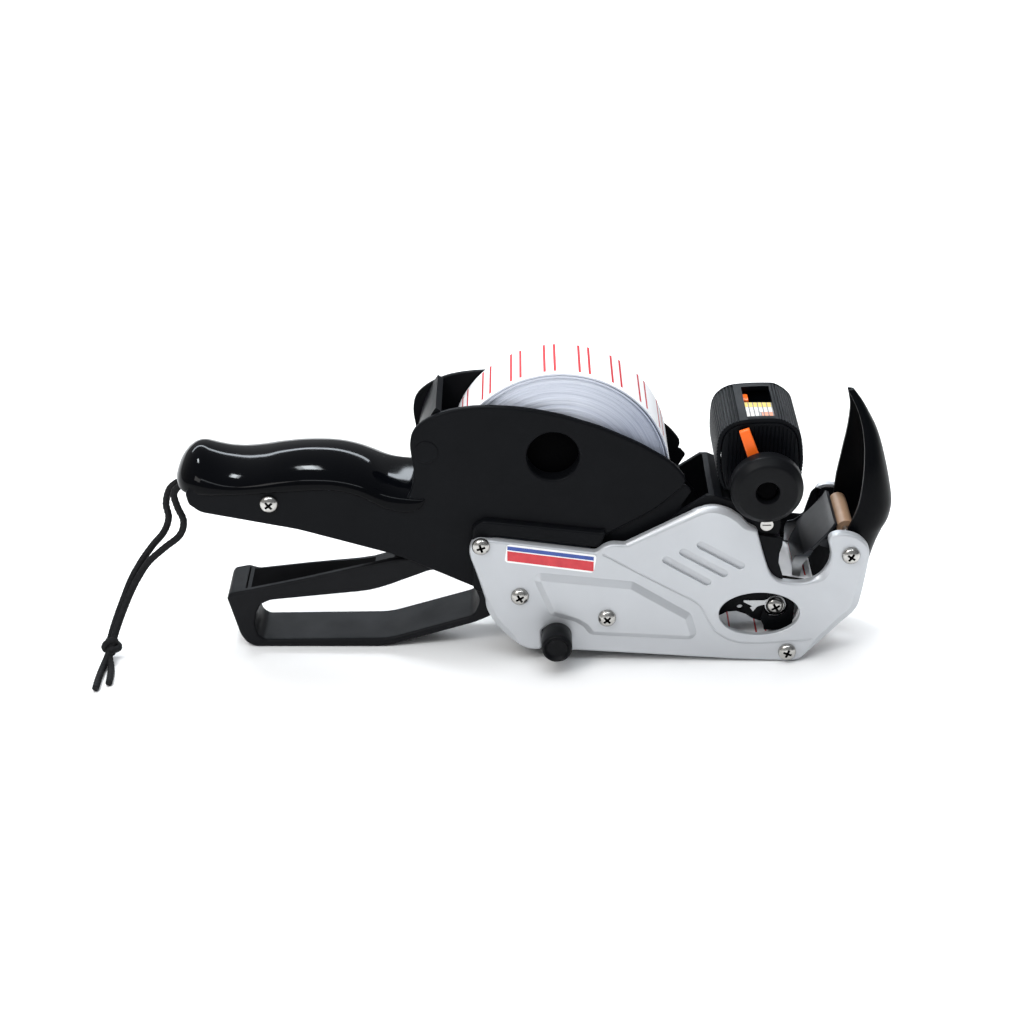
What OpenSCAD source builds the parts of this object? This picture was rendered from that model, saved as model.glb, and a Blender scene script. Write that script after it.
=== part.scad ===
// Hand-held price labeler: squeeze lever, swinging band print head, inked
// roller, label roll in an open magazine, silver side covers and a front guard.
// Front is +X, up is +Z, the side with the selector knob is -Y.
// It rests on the rear of its lever and on the front of its bottom cover.

/* [Widths across the tool] */
// Half width over the silver side covers
cover_out = 20; // [20:0.1:20.5]
// Thickness of a silver side cover
cover_t = 1.8; // [1.2:0.1:1.8]
// Height of the raised panel on a side cover
panel_h = 1.6; // [0.4:0.1:1.8]
// Half width over the latch knobs
latch_out = 31; // [28:0.5:34]
// Half width of the glossy grip
grip_half = 17; // [16.5:0.1:18]
// Half width of the looped lever
lever_half = 10; // [9.5:0.1:10.5]

/* [Label roll] */
// Outer radius of the label roll
roll_r = 37.2; // [24:0.1:37.2]
// Width of the label tape
tape_w = 25; // [20:0.5:25]
// Outer radius of the cardboard core
core_r = 20.6; // [20.2:0.1:22]

/* [Print head] */
// Number of print bands
band_n = 8; // [6:1:8]
// Outer radius of a band wheel
wheel_r = 9.6; // [8.6:0.1:9.6]
// Radius of the selector knob
knob_r = 12.9; // [11:0.1:12.9]

/* [Shafts and screws] */
// Radius of the lever and arm shafts
shaft_r = 2.5; // [2:0.1:2.5]
// Running clearance on a shaft, on the radius
run = 0.05; // [0.02:0.01:0.09]
// Radius of a cover screw head
screw_r = 3; // [2.5:0.1:3.4]

/* [Lanyard] */
// Diameter of the braided cord
cord_d = 2.6; // [2:0.1:2.6]

/* [Hidden] */
$fn = 64;

// Axes that run across the tool, as [x, z]
S1 = [-18.6, 46.1];   // rear cover screw
S2 = [-5.4, 26.5];    // lever pivot
S3 = [24.6, 18.9];    // print arm pivot
S4 = [107, 42.6];     // front spacer
S5 = [87.5, 4.4];     // bottom cover hinge
HD = [76.5, 70.4];     // band wheel axis at rest
NC = [79.44, 49.8];   // middle of the round nose at rest
QI = [66, 50.6];        // ink arm pivot
IK = [80.2, 43.2];    // ink roller at rest
FW = [83.4, 18.7];    // feed wheel
RC = [8, 69.6];       // label roll
MC = [5.5, 69.5];     // middle of the magazine's rear wall
HB = [5.6, 77.7];     // hub that carries the roll
AP = [106, 48];       // applicator roller
LB = [7.3, 11.7];     // latch bar
PV = [71.2, 17.4];    // pawl pivot
PP = [55.53, 17.82];  // driving pin of the print arm, 30.95 from its pivot

// Outline of the silver cover
cover_pts = [[-1.9, 5], [-4.3, 5.9], [-8.4, 8.7], [-13.1, 13.8], [-15.3, 17.3],
  [-17, 21.4], [-17.2, 24.6], [-20.1, 34.8], [-22.1, 40.8], [-22.8, 44],
  [-21.8, 47.2], [-19.6, 48.6], [-15.6, 48.2], [20.5, 43.4], [22.8, 45.5],
  [25.5, 46.7], [30.2, 46.4], [54.3, 59.5], [58, 60.8], [61.3, 60.7],
  [65.4, 59.3], [68.9, 56.8], [71.8, 53.5], [74.6, 52.2], [75.2, 50.4],
  [77, 43.9], [79.3, 36.9], [80.7, 34.3], [83.2, 32.3], [87.3, 31.6],
  [90.8, 31.4], [94.1, 32.2], [97.7, 34.5], [100, 38.8], [100.4, 43],
  [99.4, 46.3], [99, 48], [99.6, 49.8], [101.8, 50.8], [105, 50.8],
  [108.6, 49.8], [111.4, 47.7], [113.2, 45], [113.5, 42], [112.8, 34.1],
  [112, 27.4], [111.1, 21.9], [109.4, 19.2], [105.4, 15.1], [100.2, 9.1],
  [96.2, 5.1], [94.6, 3.8], [92.8, 1.6], [91, 0.5], [88, 0.3], [71.4, 0.9],
  [53.9, 2], [36.5, 3.2], [17.3, 4.4]];
// Outline of the lower body plate behind it, drawn in by 1.2
function inward(p, i, d) = let (n = len(p), a = p[(i + n - 1) % n], b = p[i],
  c = p[(i + 1) % n], u = unit(b - a), v = unit(c - b))
  b + d / (1 + u * v) * [u[1] + v[1], -u[0] - v[0]];
low_pts = [for (i = [0 : len(cover_pts) - 1]) inward(cover_pts, i, 1.2)];
// Outline of the upper body plate with the handle
up_pts = [[-117.5, 59.5], [-113.6, 56.4], [-80.8, 49.8], [-46.7, 39.6],
  [-21, 27.3], [-16, 26], [-16, 51], [21.8, 46.5], [40.2, 57.5],
  [51.3, 68.1], [46.4, 74.9], [34.5, 82.4], [21.1, 88.6], [7.8, 93],
  [-5.5, 95.6], [-19.3, 96.3], [-30.2, 94.5], [-36.9, 91.2], [-41.3, 87.2],
  [-42.4, 81.6], [-40.6, 70], [-43, 64.2], [-47, 64.4], [-57, 69.2],
  [-67, 72.4], [-80, 73.2], [-94, 71.4], [-106, 72.6], [-114, 73.6],
  [-117, 71], [-118.6, 65]];
// Outline of the grip
grip_pts = [[-122.5, 62.5], [-121.3, 68.5], [-118.5, 74.5], [-114.2, 77.5],
  [-105.8, 76], [-94, 74.8], [-80.3, 76.7], [-66.7, 76], [-56.6, 72.6],
  [-46.4, 67.6], [-41.3, 67.4], [-38.2, 63], [-37.6, 59.6], [-42.7, 56.6],
  [-51, 58.1], [-59.5, 63.1], [-69.5, 65], [-90, 63.8], [-117, 62.4]];

// Route of the lanyard: two strands from the handle to the knot, then tails
cord_a = [[-115.6, -1.6, 59.75], [-119.5, -1.6, 60.2], [-122.5, -1.7, 59.4], [-124.4, -1.8, 56.4],
  [-123.5, -1.8, 51.5], [-121.8, -1.8, 46], [-123.5, -2, 40.5],
  [-129, -2.8, 36], [-134.5, -4.6, 31.5], [-138.5, -6.6, 26],
  [-141.5, -9, 20.5], [-144, -12, 15], [-146, -15, 10], [-147.5, -18.2, 5.6],
  [-149, -22.5, 2.4], [-149.8, -27.5, 1.4], [-150, -33, 1.4],
  [-150, -39.5, 1.4]];
cord_b = [[-115.6, 1.6, 59.75], [-119.5, 1.6, 60.2], [-123, 1.7, 59.6], [-126.4, 1.8, 56.6],
  [-128, 1.8, 51], [-127.5, 1.8, 45.5], [-129.5, 1.5, 40], [-133.5, 0, 35.5],
  [-137.5, -2.5, 30.5], [-141, -5.4, 25], [-143.5, -8.6, 19.5],
  [-145.8, -11.8, 14], [-147.6, -14.6, 9], [-148.6, -17.4, 5],
  [-148, -21.4, 2.4], [-146.8, -26, 1.4], [-146.2, -31, 1.4],
  [-146, -36, 1.4]];
knot_c = [-147.7, -17.4, 4.8];

// ---- helpers ----
// Extrude a profile of the x-z plane from y0 to y1
module xz(y0, y1) translate([0, y1, 0]) rotate([90, 0, 0])
  linear_extrude(height = y1 - y0) children();
// The same on both sides of the middle, from a to b
module both(a, b) { xz(a, b) children(); xz(-b, -a) children(); }
// Round bar across the tool
module bar(p, r, y0, y1) translate([p[0], y1, p[1]]) rotate([90, 0, 0])
  cylinder(r = r, h = y1 - y0);
module dot(p, r) translate(p) circle(r = r);
// Plain polygon ring that follows a path, as one closed tube
function unit(v) = v / norm(v);
function tang(p, i) = unit(i == 0 ? p[1] - p[0]
  : i == len(p) - 1 ? p[i] - p[i - 1] : p[i + 1] - p[i - 1]);
function ring(p, i, r, n, ref) = let (t = tang(p, i), u = unit(cross(t, ref)),
  v = cross(t, u)) [for (k = [0 : n - 1])
    p[i] + r * (cos(360 * k / n) * u + sin(360 * k / n) * v)];
module tube(p, r, n, ref) {
  m = len(p);
  polyhedron(
    points = [for (i = [0 : m - 1]) each ring(p, i, r, n, ref)],
    faces = concat([[for (k = [0 : n - 1]) k]],
      [[for (k = [n - 1 : -1 : 0]) (m - 1) * n + k]],
      [for (i = [0 : m - 2]) for (k = [0 : n - 1])
        [i * n + k, (i + 1) * n + k, (i + 1) * n + (k + 1) % n,
         i * n + (k + 1) % n]]));
}
// Smooth curve through hand-set points, s steps a span
function cr(a, b, c, d, t) = 0.5 * (2 * b + (c - a) * t
  + (2 * a - 5 * b + 4 * c - d) * t * t + (3 * b - a - 3 * c + d) * t * t * t);
function smooth(p, s) = [for (i = [0 : len(p) - 2]) for (j = [0 : s - 1])
  cr(p[max(i - 1, 0)], p[i], p[i + 1], p[min(i + 2, len(p) - 1)], j / s),
  p[len(p) - 1]];
// Thin band of thickness t along points of the x-z plane
function side(p, i, d) = let (a = p[max(i - 1, 0)], b = p[min(i + 1, len(p) - 1)],
  q = (b - a) / norm(b - a)) p[i] + d * [-q[1], q[0]];
module ribbon(p, t) polygon(concat([for (i = [0 : len(p) - 1]) side(p, i, t / 2)],
  [for (i = [len(p) - 1 : -1 : 0]) side(p, i, -t / 2)]));
// Slot of half width r from a to b
module slot2(a, b, r) {
  q = (b - a) / norm(b - a); w = r * [-q[1], q[0]];
  dot(a, r); dot(b, r); polygon([a + w, b + w, b - w, a - w]);
}
// Groove of half width r from a to b, drawn as one outline
module groove(a, b, r) {
  t = atan2(b[1] - a[1], b[0] - a[0]);
  polygon(concat(
    [for (k = [0 : 8]) b + r * [cos(t - 90 + k * 22.5), sin(t - 90 + k * 22.5)]],
    [for (k = [0 : 8]) a + r * [cos(t + 90 + k * 22.5), sin(t + 90 + k * 22.5)]]));
}
module oval(c, rx, rz) polygon([for (k = [0 : 47])
  c + [rx * cos(k * 7.5), rz * sin(k * 7.5)]]);
// Open slot for the latch bar, down to the lower edge and back by its travel
module latch_gap() polygon([[1.4, 3], [9.7, 3], [9.7, 13.2], [8.6, 14.3],
  [2.6, 14.3], [1.6, 13.2]]);
// Pan-head cross-slot screw at p; s is the side, its head sits at y0
module pan_screw(p, s, y0, r, shank) {
  translate([p[0], s * y0, p[1]]) rotate([s * 90, 0, 0]) mirror([0, 0, 1])
    difference() {
      union() {
        rotate_extrude() polygon([[0, 0], [r, 0], [r, r * 0.22],
          [r * 0.86, r * 0.46], [r * 0.5, r * 0.62], [0, r * 0.66]]);
        translate([0, 0, -shank]) cylinder(r = 1.45, h = shank + 0.1);
      }
      for (a = [0, 90]) rotate([0, 0, a + 20])
        translate([-r * 0.55, -0.35, r * 0.3]) cube([r * 1.1, 0.7, r]);
    }
}

// ---- body ----
module body_side() {
  difference() {
    union() {
      xz(13.3, 15.5) polygon(up_pts);
      // step between the magazine plate and the lower plate
      xz(13.3, 18) polygon([[-21, 27.3], [-16, 26], [-16, 49], [21.8, 44],
        [24, 50.5], [21.8, 50], [-17.6, 54.6], [-21, 52]]);
      xz(16.8, 18) polygon(low_pts);
      // inner plate that closes the gap above the silver cover
      xz(13.3, 14.4) polygon([[18, 40], [21, 48], [40, 57.8], [50, 67],
        [52.4, 64.2], [50.2, 60.4], [49.2, 58.6], [56, 50], [58, 45], [40, 40]]);
      // hub that the roll hangs on
      bar(HB, 10, 8.5, 13.4);
      // boss for the rear cover screw
      bar(S1, 3.4, 15, 18);
    }
    bar(HB, 8.8, 9.7, 16);
    bar(S1, 1.5, 12, 19);
    for (p = [S2, S3, S4, S5]) bar(p, shaft_r, 16, 19);
    bar([-90.2, 60.1], 1.5, 13, 16);
    xz(16, 19) oval([77.1, 19.3], 15.2, 9.6);
    xz(16, 19) latch_gap();
  }
  // round stop on the magazine plate
  bar([-36.8, 79.4], 4.1, 15.4, 15.9);
}
module frame_right() color("#17181b") { body_side();
  // web across the lower part of the nose cut-out
  xz(16.8, 18) polygon([[75, 46], [80, 40], [95.2, 38.6], [96.2, 42.6], [97.6, 47.6],
    [99.4, 49.6], [101.8, 48.6], [102, 40], [98, 32.6], [90, 29.6], [82, 30.4],
    [76, 38]]); }
module frame_left() color("#17181b") { mirror([0, 1, 0]) body_side();
  // narrow web along the rear side of the nose cut-out
  xz(-18, -16.8) polygon([[72.4, 49.8], [84, 48], [83.8, 45], [83, 42], [82.9, 38.4],
    [84.5, 33.6], [85, 30], [79, 31], [74, 40]]); }
module magazine_rear_wall() color("#141518") xz(-13.3, 13.3)
  difference() {
    dot(MC, 46.4);
    dot(MC, 44.2);
    polygon([MC, [-60, 112], [-10, 140], [80, 120], [80, 0], [-10, 10],
      [-60, 44]]);
  }
module grip() color("#0b0c10") difference() {
  xz(-grip_half, grip_half) polygon(grip_pts);
  xz(-15.5, 15.5) polygon(concat([[-118.6, 50], [-30, 50], [-30, 70],
    [-40.6, 70]], [for (i = [21 : 30]) up_pts[i]]));
}
module handle_spacer() color("#2a2b2e") difference() {
  bar([-90.2, 60.1], 3.6, -13.3, 13.3);
  bar([-90.2, 60.1], 1.5, -14, -6);
  bar([-90.2, 60.1], 1.5, 6, 14);
}
module handle_screws() color("#c9c9c6") for (s = [-1, 1])
  pan_screw([-90.2, 60.1], s, 15.5, 3.3, 6);
module lanyard_pin() color("#2a2b2e") bar([-115.6, 62.5], 1.4, -13.3, 13.3);

// ---- silver covers ----
module cover_side() difference() {
  union() {
    xz(cover_out - cover_t, cover_out) polygon(cover_pts);
    // raised panel
    xz(cover_out - 1, cover_out + panel_h) polygon([[0.4, 35.9], [33.3, 32.3],
      [53.6, 19.6], [56.8, 9], [18.9, 11.1], [16.4, 14.6], [13.6, 16.4], [5, 19.2],
      [-0.6, 32.9]]);
  }
  // three pressed grooves
  xz(cover_out - 0.6, cover_out + 1) for (p = [[[55.9, 46.4], [69.8, 38.4]],
    [[50.1, 43.6], [64.2, 35.3]], [[44.4, 40.6], [58.6, 32]]])
    groove(p[0], p[1], 1.3);
  xz(17, 22) oval([77.1, 19.3], 13.9, 8.4);
  xz(17, 22) latch_gap();
  for (p = [S1, S2, S3, S4, S5]) bar(p, 1.5, 17, 23);
}
module side_cover_right() color("#c3c6cb") cover_side();
module side_cover_left() color("#c3c6cb") mirror([0, 1, 0]) cover_side();
module cover_screws() color("#c9c9c6") for (s = [-1, 1], p = [S1, S2, S3, S4, S5])
  pan_screw(p, s, p == S3 ? cover_out + panel_h : cover_out, screw_r, 6.5);
// plain two-colour sticker
module sticker() color("#b8322f") translate([5, -cover_out, 41.3])
  rotate([0, 8, 0]) translate([-15.4, -0.2, -3.5]) cube([30.8, 0.2, 7]);

// ---- bottom cover and latch ----
module bottom_cover() color("#1b1c1f") difference() {
  union() {
    xz(-16.5, 16.5) polygon([[-6, 5.3], [86, 0], [87.5, 1.7], [84, 2], [-5, 7]]);
    // hinge knuckles
    both(12.9, 16.5) { dot(S5, 3.6); polygon([[82, 0.25], [87, 0.8], [88, 6],
      [84, 6]]); }
    // lugs that guide the latch bar, and spring posts
    both(12.8, 13.6) polygon([[-1, 5.2], [13, 4.4], [13, 12], [11, 16],
      [1, 16], [-1, 12]]);
    both(13.8, 16.4) polygon([[-5.6, 5.6], [-3.6, 5.5], [-3.6, 13.6],
      [-4.6, 13.6]]);
  }
  both(12, 14) slot2(LB - [3, 0], LB, 2.05);
  bar(S5, shaft_r + run, -20, 20);
}
module hinge_pin() color("#9a9b9d") difference() {
  bar(S5, shaft_r, -18, 18);
  bar(S5, 1.5, -19, -12); bar(S5, 1.5, 12, 19);
}
module latch_bar() color("#9a9b9d") bar(LB, 2, -cover_out - 1, cover_out + 1);
module latch_knobs() color("#131416") for (s = [-1, 1]) translate([LB[0], 0, LB[1]])
  rotate([s * -90, 0, 0]) rotate_extrude() polygon([[0, 21], [2.3, 21], [4.4, 20.7],
    [5.3, 21.4], [5.3, latch_out - 1], [4.5, latch_out - 0.15], [3.9, latch_out],
    [0, latch_out]]);
// bowed leaf springs that hold the latch bar forward
module latch_springs() color("#8d8e90") both(14, 16.2) ribbon([[-3.34, 8.2],
  [-3.1, 9.6], [-1.6, 10.6], [0.6, 11], [2.8, 11.6], [5, 11.8]], 0.4);

// ---- lever ----
lever_loop = [[-107.5, 19.5], [-106.5, 21.5], [-99, 23], [-80.6, 27.2], [-45, 36.1],
  [-20, 35.5], [-8, 33], [-2, 30], [-1, 24], [-4, 21], [-12, 14.5], [-20, 10.2],
  [-51, 0.4], [-55, 0], [-98.4, 0], [-101.5, 1.4], [-103.6, 5]];
lever_slot = [[-97.6, 13.6], [-96, 17], [-92.5, 18.8], [-56, 22.8], [-36, 31],
  [-30, 31], [-22, 26], [-19, 18.5], [-21.4, 12.8], [-51.5, 3.4], [-95, 2.8],
  [-97.4, 4.6], [-98.4, 9]];
module lever() color("#16171a") difference() {
  union() {
    difference() {
      xz(-lever_half, lever_half) polygon(lever_loop);
      xz(-20, 20) polygon(lever_slot);
      // channel in the upper arm
      xz(-lever_half + 2.2, lever_half - 2.2) polygon([[-104, 23.5], [-97.8, 21.4],
        [-80, 23.6], [-57, 26], [-36, 33.6], [-22, 32], [-15, 28], [-12, 40],
        [-104, 40]]);
      // its far wall is cut down to the channel's floor
      xz(0, lever_half + 1) polygon([[-104.5, 23], [-97.8, 21.4], [-80, 23.4],
        [-57, 25.2], [-47, 28.4], [-36, 33.6], [-34, 40], [-104.5, 40]]);
    }
    both(6, 14.6) dot(S2, 5);
    // forward arms that pass over the arm pivot
    both(13, 14.6) {
      polygon([[-9, 29.6], [-2, 32.2], [24.6, 33], [40, 28.6], [57, 21.6],
        [57, 13.4], [53, 13.8], [42, 22.4], [34, 26.4], [24.6, 27.6], [6, 24.4],
        [-3, 22]]);
      dot([55.6, 17.8], 4.6);
    }
  }
  bar(S2, shaft_r + run, -20, 20);
  xz(-5.6, 5.6) { dot(S2, 6.4); polygon([[-16, 29.6], [-8, 29.6], [-8, 40], [-16, 40]]); }
  both(12.5, 15) slot2([54.5, 17.95], [56.7, 17.65], 1.56);
}
module lever_shaft() color("#9a9b9d") difference() {
  bar(S2, shaft_r, -18, 18);
  bar(S2, 1.5, -19, -12); bar(S2, 1.5, 12, 19);
}
// torsion spring: the front leg lies on the arm pivot tube, the rear leg in the channel
module lever_spring() color("#8d8e90") translate([S2[0], 0, S2[1]])
  tube(concat([[36.4, 4.6, -4.1], [30, 4.6, -3.45], [19.4, 4.6, -0.6], [9.4, 4.6, 2.1]],
    [for (k = [0 : 92]) let (a = 165 + 1815 * k / 92)
      [4.3 * sin(a), 4.5 - 9 * k / 92, -4.3 * cos(a)]],
    [[-4.6, -4.6, 4.3], [-9.1, -4.6, 4.5], [-12.6, -4.6, 5.1], [-16.6, -4.6, 6.15],
      [-21.6, -4.6, 6.9]]), 0.45, 6, [0.02, 1, 0.05]);

// ---- print arm and head ----
cheek_pts = [[19, 23.2], [30, 14.4], [45, 26], [60, 40], [72, 47.6], [76, 47.8],
  [82, 49.5], [83, 53], [81, 57], [70, 60], [62.8, 62.4], [60, 63.6],
  [57.4, 63.6], [48, 57]];
module print_arm() color("#1a1b1e") difference() {
  union() {
    both(14.9, 16.5) {
      polygon(cheek_pts);
      dot(S3, 7); dot([78.3, 52.3], 4.7); dot(PP, 3.5);
      polygon([[24.6, 12.4], [55.5, 14.4], [55.5, 21.2], [28, 26]]);
    }
    // tube round the pivot and the bridge behind the hood
    bar(S3, 3.6, -15, 15);
    xz(-15, 15) polygon([[58.2, 63.6], [60, 63.6], [62.8, 62.4], [63, 60.4], [61, 61.5]]);
    bar(PP, 1.5, -15, -12.9); bar(PP, 1.5, 12.9, 15);
  }
  bar(S3, shaft_r + run, -20, 20);
  bar([78.3, 52.3], 1.5, -20, 20);
  both(15.6, 17) dot([78.3, 52.3], 2.3);
}
module arm_shaft() color("#9a9b9d") difference() {
  bar(S3, shaft_r, -18, 18);
  bar(S3, 1.5, -19, -12); bar(S3, 1.5, 12, 19);
}
module head_frame() color("#202125") difference() {
  union() {
    both(10.6, 12.2) polygon([[67, 61], [72, 60], [77, 52.4], [81.8, 52.4],
      [82, 60], [84.4, 61], [86.4, 66], [87.6, 70], [86, 80], [70, 80], [66.5, 70]]);
    both(10.6, 14.8) polygon([[72.5, 58.5], [81, 58.5], [81, 61], [72.5, 61]]);
    both(13, 14.8) polygon([[73.8, 48.4], [82.6, 48.4], [82.6, 58.5],
      [81, 61], [73.8, 61]]);
    // round nose inside the bands
    xz(-10.6, 10.6) { dot(NC, 1.9); polygon([[77.6, 49.6], [76.6, 57.4],
      [80.4, 58.2], [82.8, 57.8], [81.3, 50]]); }
  }
  bar(HD, 3.1, -20, 20);
  bar([78.3, 52.3], 1.5, -20, -12.5); bar([78.3, 52.3], 1.5, 12.5, 20);
}
hood_out = [[63.4, 64.6], [61.2, 69], [60.4, 74], [60.3, 80], [60.8, 84.4],
  [62.6, 87.6], [66.4, 90], [72, 90.8], [79, 91], [82, 90.7], [85.2, 88.9],
  [87.6, 86.4], [88.8, 82.6], [89.4, 78], [89.6, 74], [88.9, 68], [86.8, 64.6]];
hood_in = [[65.1, 60], [62.8, 69.3], [62, 74], [61.9, 80], [62.4, 83.8],
  [63.8, 86.4], [67, 88.5], [72.2, 89.3], [78.8, 89.5], [81.6, 89.2], [84.2, 87.8],
  [86.2, 85.6], [87.3, 82.2], [87.9, 78], [88.1, 74], [87.7, 68.4], [85.2, 60]];
module head_hood() color("#14161a") difference() {
  xz(-14, 16.1) polygon(hood_out);
  xz(-15, 14.5) polygon(hood_in);
  // reading window in the top, and the sunk field for its scale
  translate([69.6, 0.5, 84]) cube([10, 11.5, 12]);
  translate([69.6, -11.4, 90.2]) cube([10, 12, 4]);
  bar(HD, 3.6, 12, 17);
}
// low cylinder-head screws sunk into the cheeks
module head_screws() color("#c9c9c6") for (s = [-1, 1]) difference() {
  union() {
    xz(s > 0 ? 15.6 : -16.4, s > 0 ? 16.4 : -15.6) dot([78.3, 52.3], 2.2);
    xz(s > 0 ? 13 : -15.7, s > 0 ? 15.7 : -13) dot([78.3, 52.3], 1.45);
  }
  xz(s > 0 ? 16 : -17, s > 0 ? 17 : -16)
    polygon([[76.8, 52], [79.8, 52], [79.8, 52.6], [76.8, 52.6]]);
}
bw = 20.8 / band_n;
// Points where a band meets the nose and the wheel, on side s
function touch(a, b, s) = let (d = HD - NC, u = d / norm(d), k = (a - b) / norm(d),
  n = s * sqrt(1 - k * k) * [u[1], -u[0]] + k * u) [NC + a * n, HD + b * n];
module belt(a, b) {
  dot(NC, a); dot(HD, b);
  polygon(concat(touch(a, b, 1), [touch(a, b, -1)[1], touch(a, b, -1)[0]]));
}
module print_bands() color("#1d1d20") for (i = [0 : band_n - 1])
  xz(-10.4 + bw * i + 0.1, -10.4 + bw * (i + 1) - 0.1) difference() {
    belt(2.5, wheel_r + 0.6);
    belt(1.95, wheel_r);
  }
module band_wheels() color("#2b2c30") for (i = [0 : band_n - 1])
  xz(-10.4 + bw * i + 0.1, -10.4 + bw * (i + 1) - 0.1) difference() {
    dot(HD, wheel_r); dot(HD, 3.1);
  }
module selector_shaft() color("#3a3b3f") bar(HD, 3, -26, 12.4);
module selector_knob() color("#111214") translate([HD[0], 0, HD[1]])
  rotate([90, 0, 0]) rotate_extrude() polygon([[3, 21], [knob_r - 0.6, 21],
    [knob_r, 21.6], [knob_r, 25.6], [knob_r - 1.9, 27.8], [knob_r - 2.2, 28],
    [4, 28], [4, 26], [3, 26]]);
module pointer() color("#f2560f") difference() {
  union() {
    bar(HD, 4.8, -19.8, -17.4);
    xz(-18.4, -15.4) polygon([[74.2, 72], [71, 78], [67.4, 87.2],
      [70.4, 88.4], [74.4, 79.4], [79, 73]]);
    xz(-15.5, 11) polygon([[69.6, 85.2], [72.4, 85.2], [72.4, 86.4], [69.6, 86.4]]);
    xz(6, 11) polygon([[70, 86], [72.4, 86], [72.4, 88.5], [70, 88.5]]);
  }
  bar(HD, 3 + run, -24, -14);
}

// ---- ink roller ----
module ink_roller() color("#1c1a1e") difference() {
  bar(IK, 3.9, -10.8, 10.8);
  bar(IK, 1.2 + run, -12, 12);
}
module ink_axle() color("#9a9b9d") bar(IK, 1.2, -12.7, 12.7);
module ink_arm() color("#2b2c30") difference() {
  union() {
    both(11.3, 12.7) { dot(QI, 3); dot(IK, 2.4); slot2(QI, IK, 2); }
    bar(QI, 3, -12.7, 12.7);
  }
  bar(QI, 1.5 + run, -20, 20);
  bar(IK, 1.2, -20, 20);
}
module ink_pivot() color("#9a9b9d") bar(QI, 1.5, -14.4, 14.4);

// ---- platen and feed ----
module platen() color("#1b1c1f") difference() {
  union() {
    xz(-12.5, 12.5) polygon([[61, 24], [61, 28], [76.4, 31.7], [77.4, 31.72],
      [79, 31.43], [79, 30.2], [91, 28.1], [91, 29.3], [94.2, 28.76], [95.6, 27.7],
      [95, 27.1], [91, 27.2], [76, 27.2], [68, 24]]);
    // tabs to the lower plates and ears for the ink arm
    both(12.4, 16.8) polygon([[61, 24], [66, 24.8], [66, 27.4], [63, 27.2],
      [61, 26.4]]);
    both(12.4, 14.4) polygon([[62, 24.4], [66, 24.8], [66.4, 27.4], [62.6, 27.4]]);
    both(13, 14.4) { dot(QI, 3); polygon([[62, 24.4], [66, 24.8], [69, 50],
      [63, 50]]); }
    // side walls for the feed shaft and the pawl
    both(10.4, 11.9) { dot(FW, 4.4); polygon([[78, 15], [87, 15.6], [88, 20],
      [90, 28], [77, 28]]); }
    xz(10.4, 11.9) polygon([[68.4, 15], [72, 14.4], [80, 15], [80, 28], [68.4, 26]]);
    xz(-11.9, -10.4) polygon([[62.6, 24.2], [62.6, 13.2], [64.2, 14.1], [66.8, 15.6],
      [70, 15.9], [73.3, 14.7], [75.5, 13.1], [77.7, 12.2], [79.6, 11.8], [80, 28],
      [64, 28]]);
    // shield beside the feed wheel
    difference() {
      xz(-13.4, -12.7) polygon([[78.4, 13.4], [79.6, 11], [79.8, 9.2], [89.4, 9.2],
        [89.8, 16], [89.6, 28], [86, 28.4], [86, 24], [80.4, 24], [80.4, 20.4],
        [79.2, 17]]);
      bar(FW, 4.3, -14, -12);
    }
    xz(-12.8, -11.8) polygon([[86, 24.6], [89, 24.6], [89, 27.4], [86, 27.4]]);
  }
  bar(QI, 1.5, -20, 20);
  bar(FW, 2, -20, 20);
  bar(PV, 1.1, -20, 20);
}
module platen_pad() color("#3b2b27") xz(-12, 12) polygon([[79.05, 30.2],
  [79.05, 31.4], [90.95, 29.3], [90.95, 28.15]]);
module hold_down() color("#9fa3a8") both(12.35, 12.85) polygon([[88.4, 30.6],
  [91.3, 30.4], [91.9, 35], [95.4, 40.4], [94.4, 41.2], [91.4, 38.9], [89, 38.4],
  [88.3, 36]]);
// slanting sheet with two ears that sit on the front spacer
module label_guide() color("#26282c") difference() {
  union() {
    xz(-12.35, 12.35) ribbon([[102.4, 50.6], [101.2, 48.4], [98.8, 45.2],
      [96.4, 42.4], [94.2, 39.9], [92.8, 38.2]], 1.2);
    xz(-10.4, 10.4) ribbon([[93.2, 38.7], [92.4, 37.2], [91.2, 34.6], [90.4, 32.4],
      [90.1, 31.3]], 1.2);
    both(10.9, 12) { dot(S4, 3.6); polygon([[98.4, 44.4], [96.6, 42.2],
      [105.2, 39.5], [105.4, 45.6]]); }
  }
  bar(S4, 2.2, -20, 20);
}
module feed_wheel() color("#3a3a3d") difference() {
  union() {
    bar(FW, 7.4, -5, 5);
    for (y = [-4, 4]) bar(FW, 8, y - 1.6, y + 1.6);
  }
  bar(FW, 2 + run, -20, 20);
}
module feed_shaft() color("#9a9b9d") difference() {
  bar(FW, 2, -11.9, 11.9);
  bar(FW, 1.46, -13, -8); bar(FW, 1.46, 8, 13);
}
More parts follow.
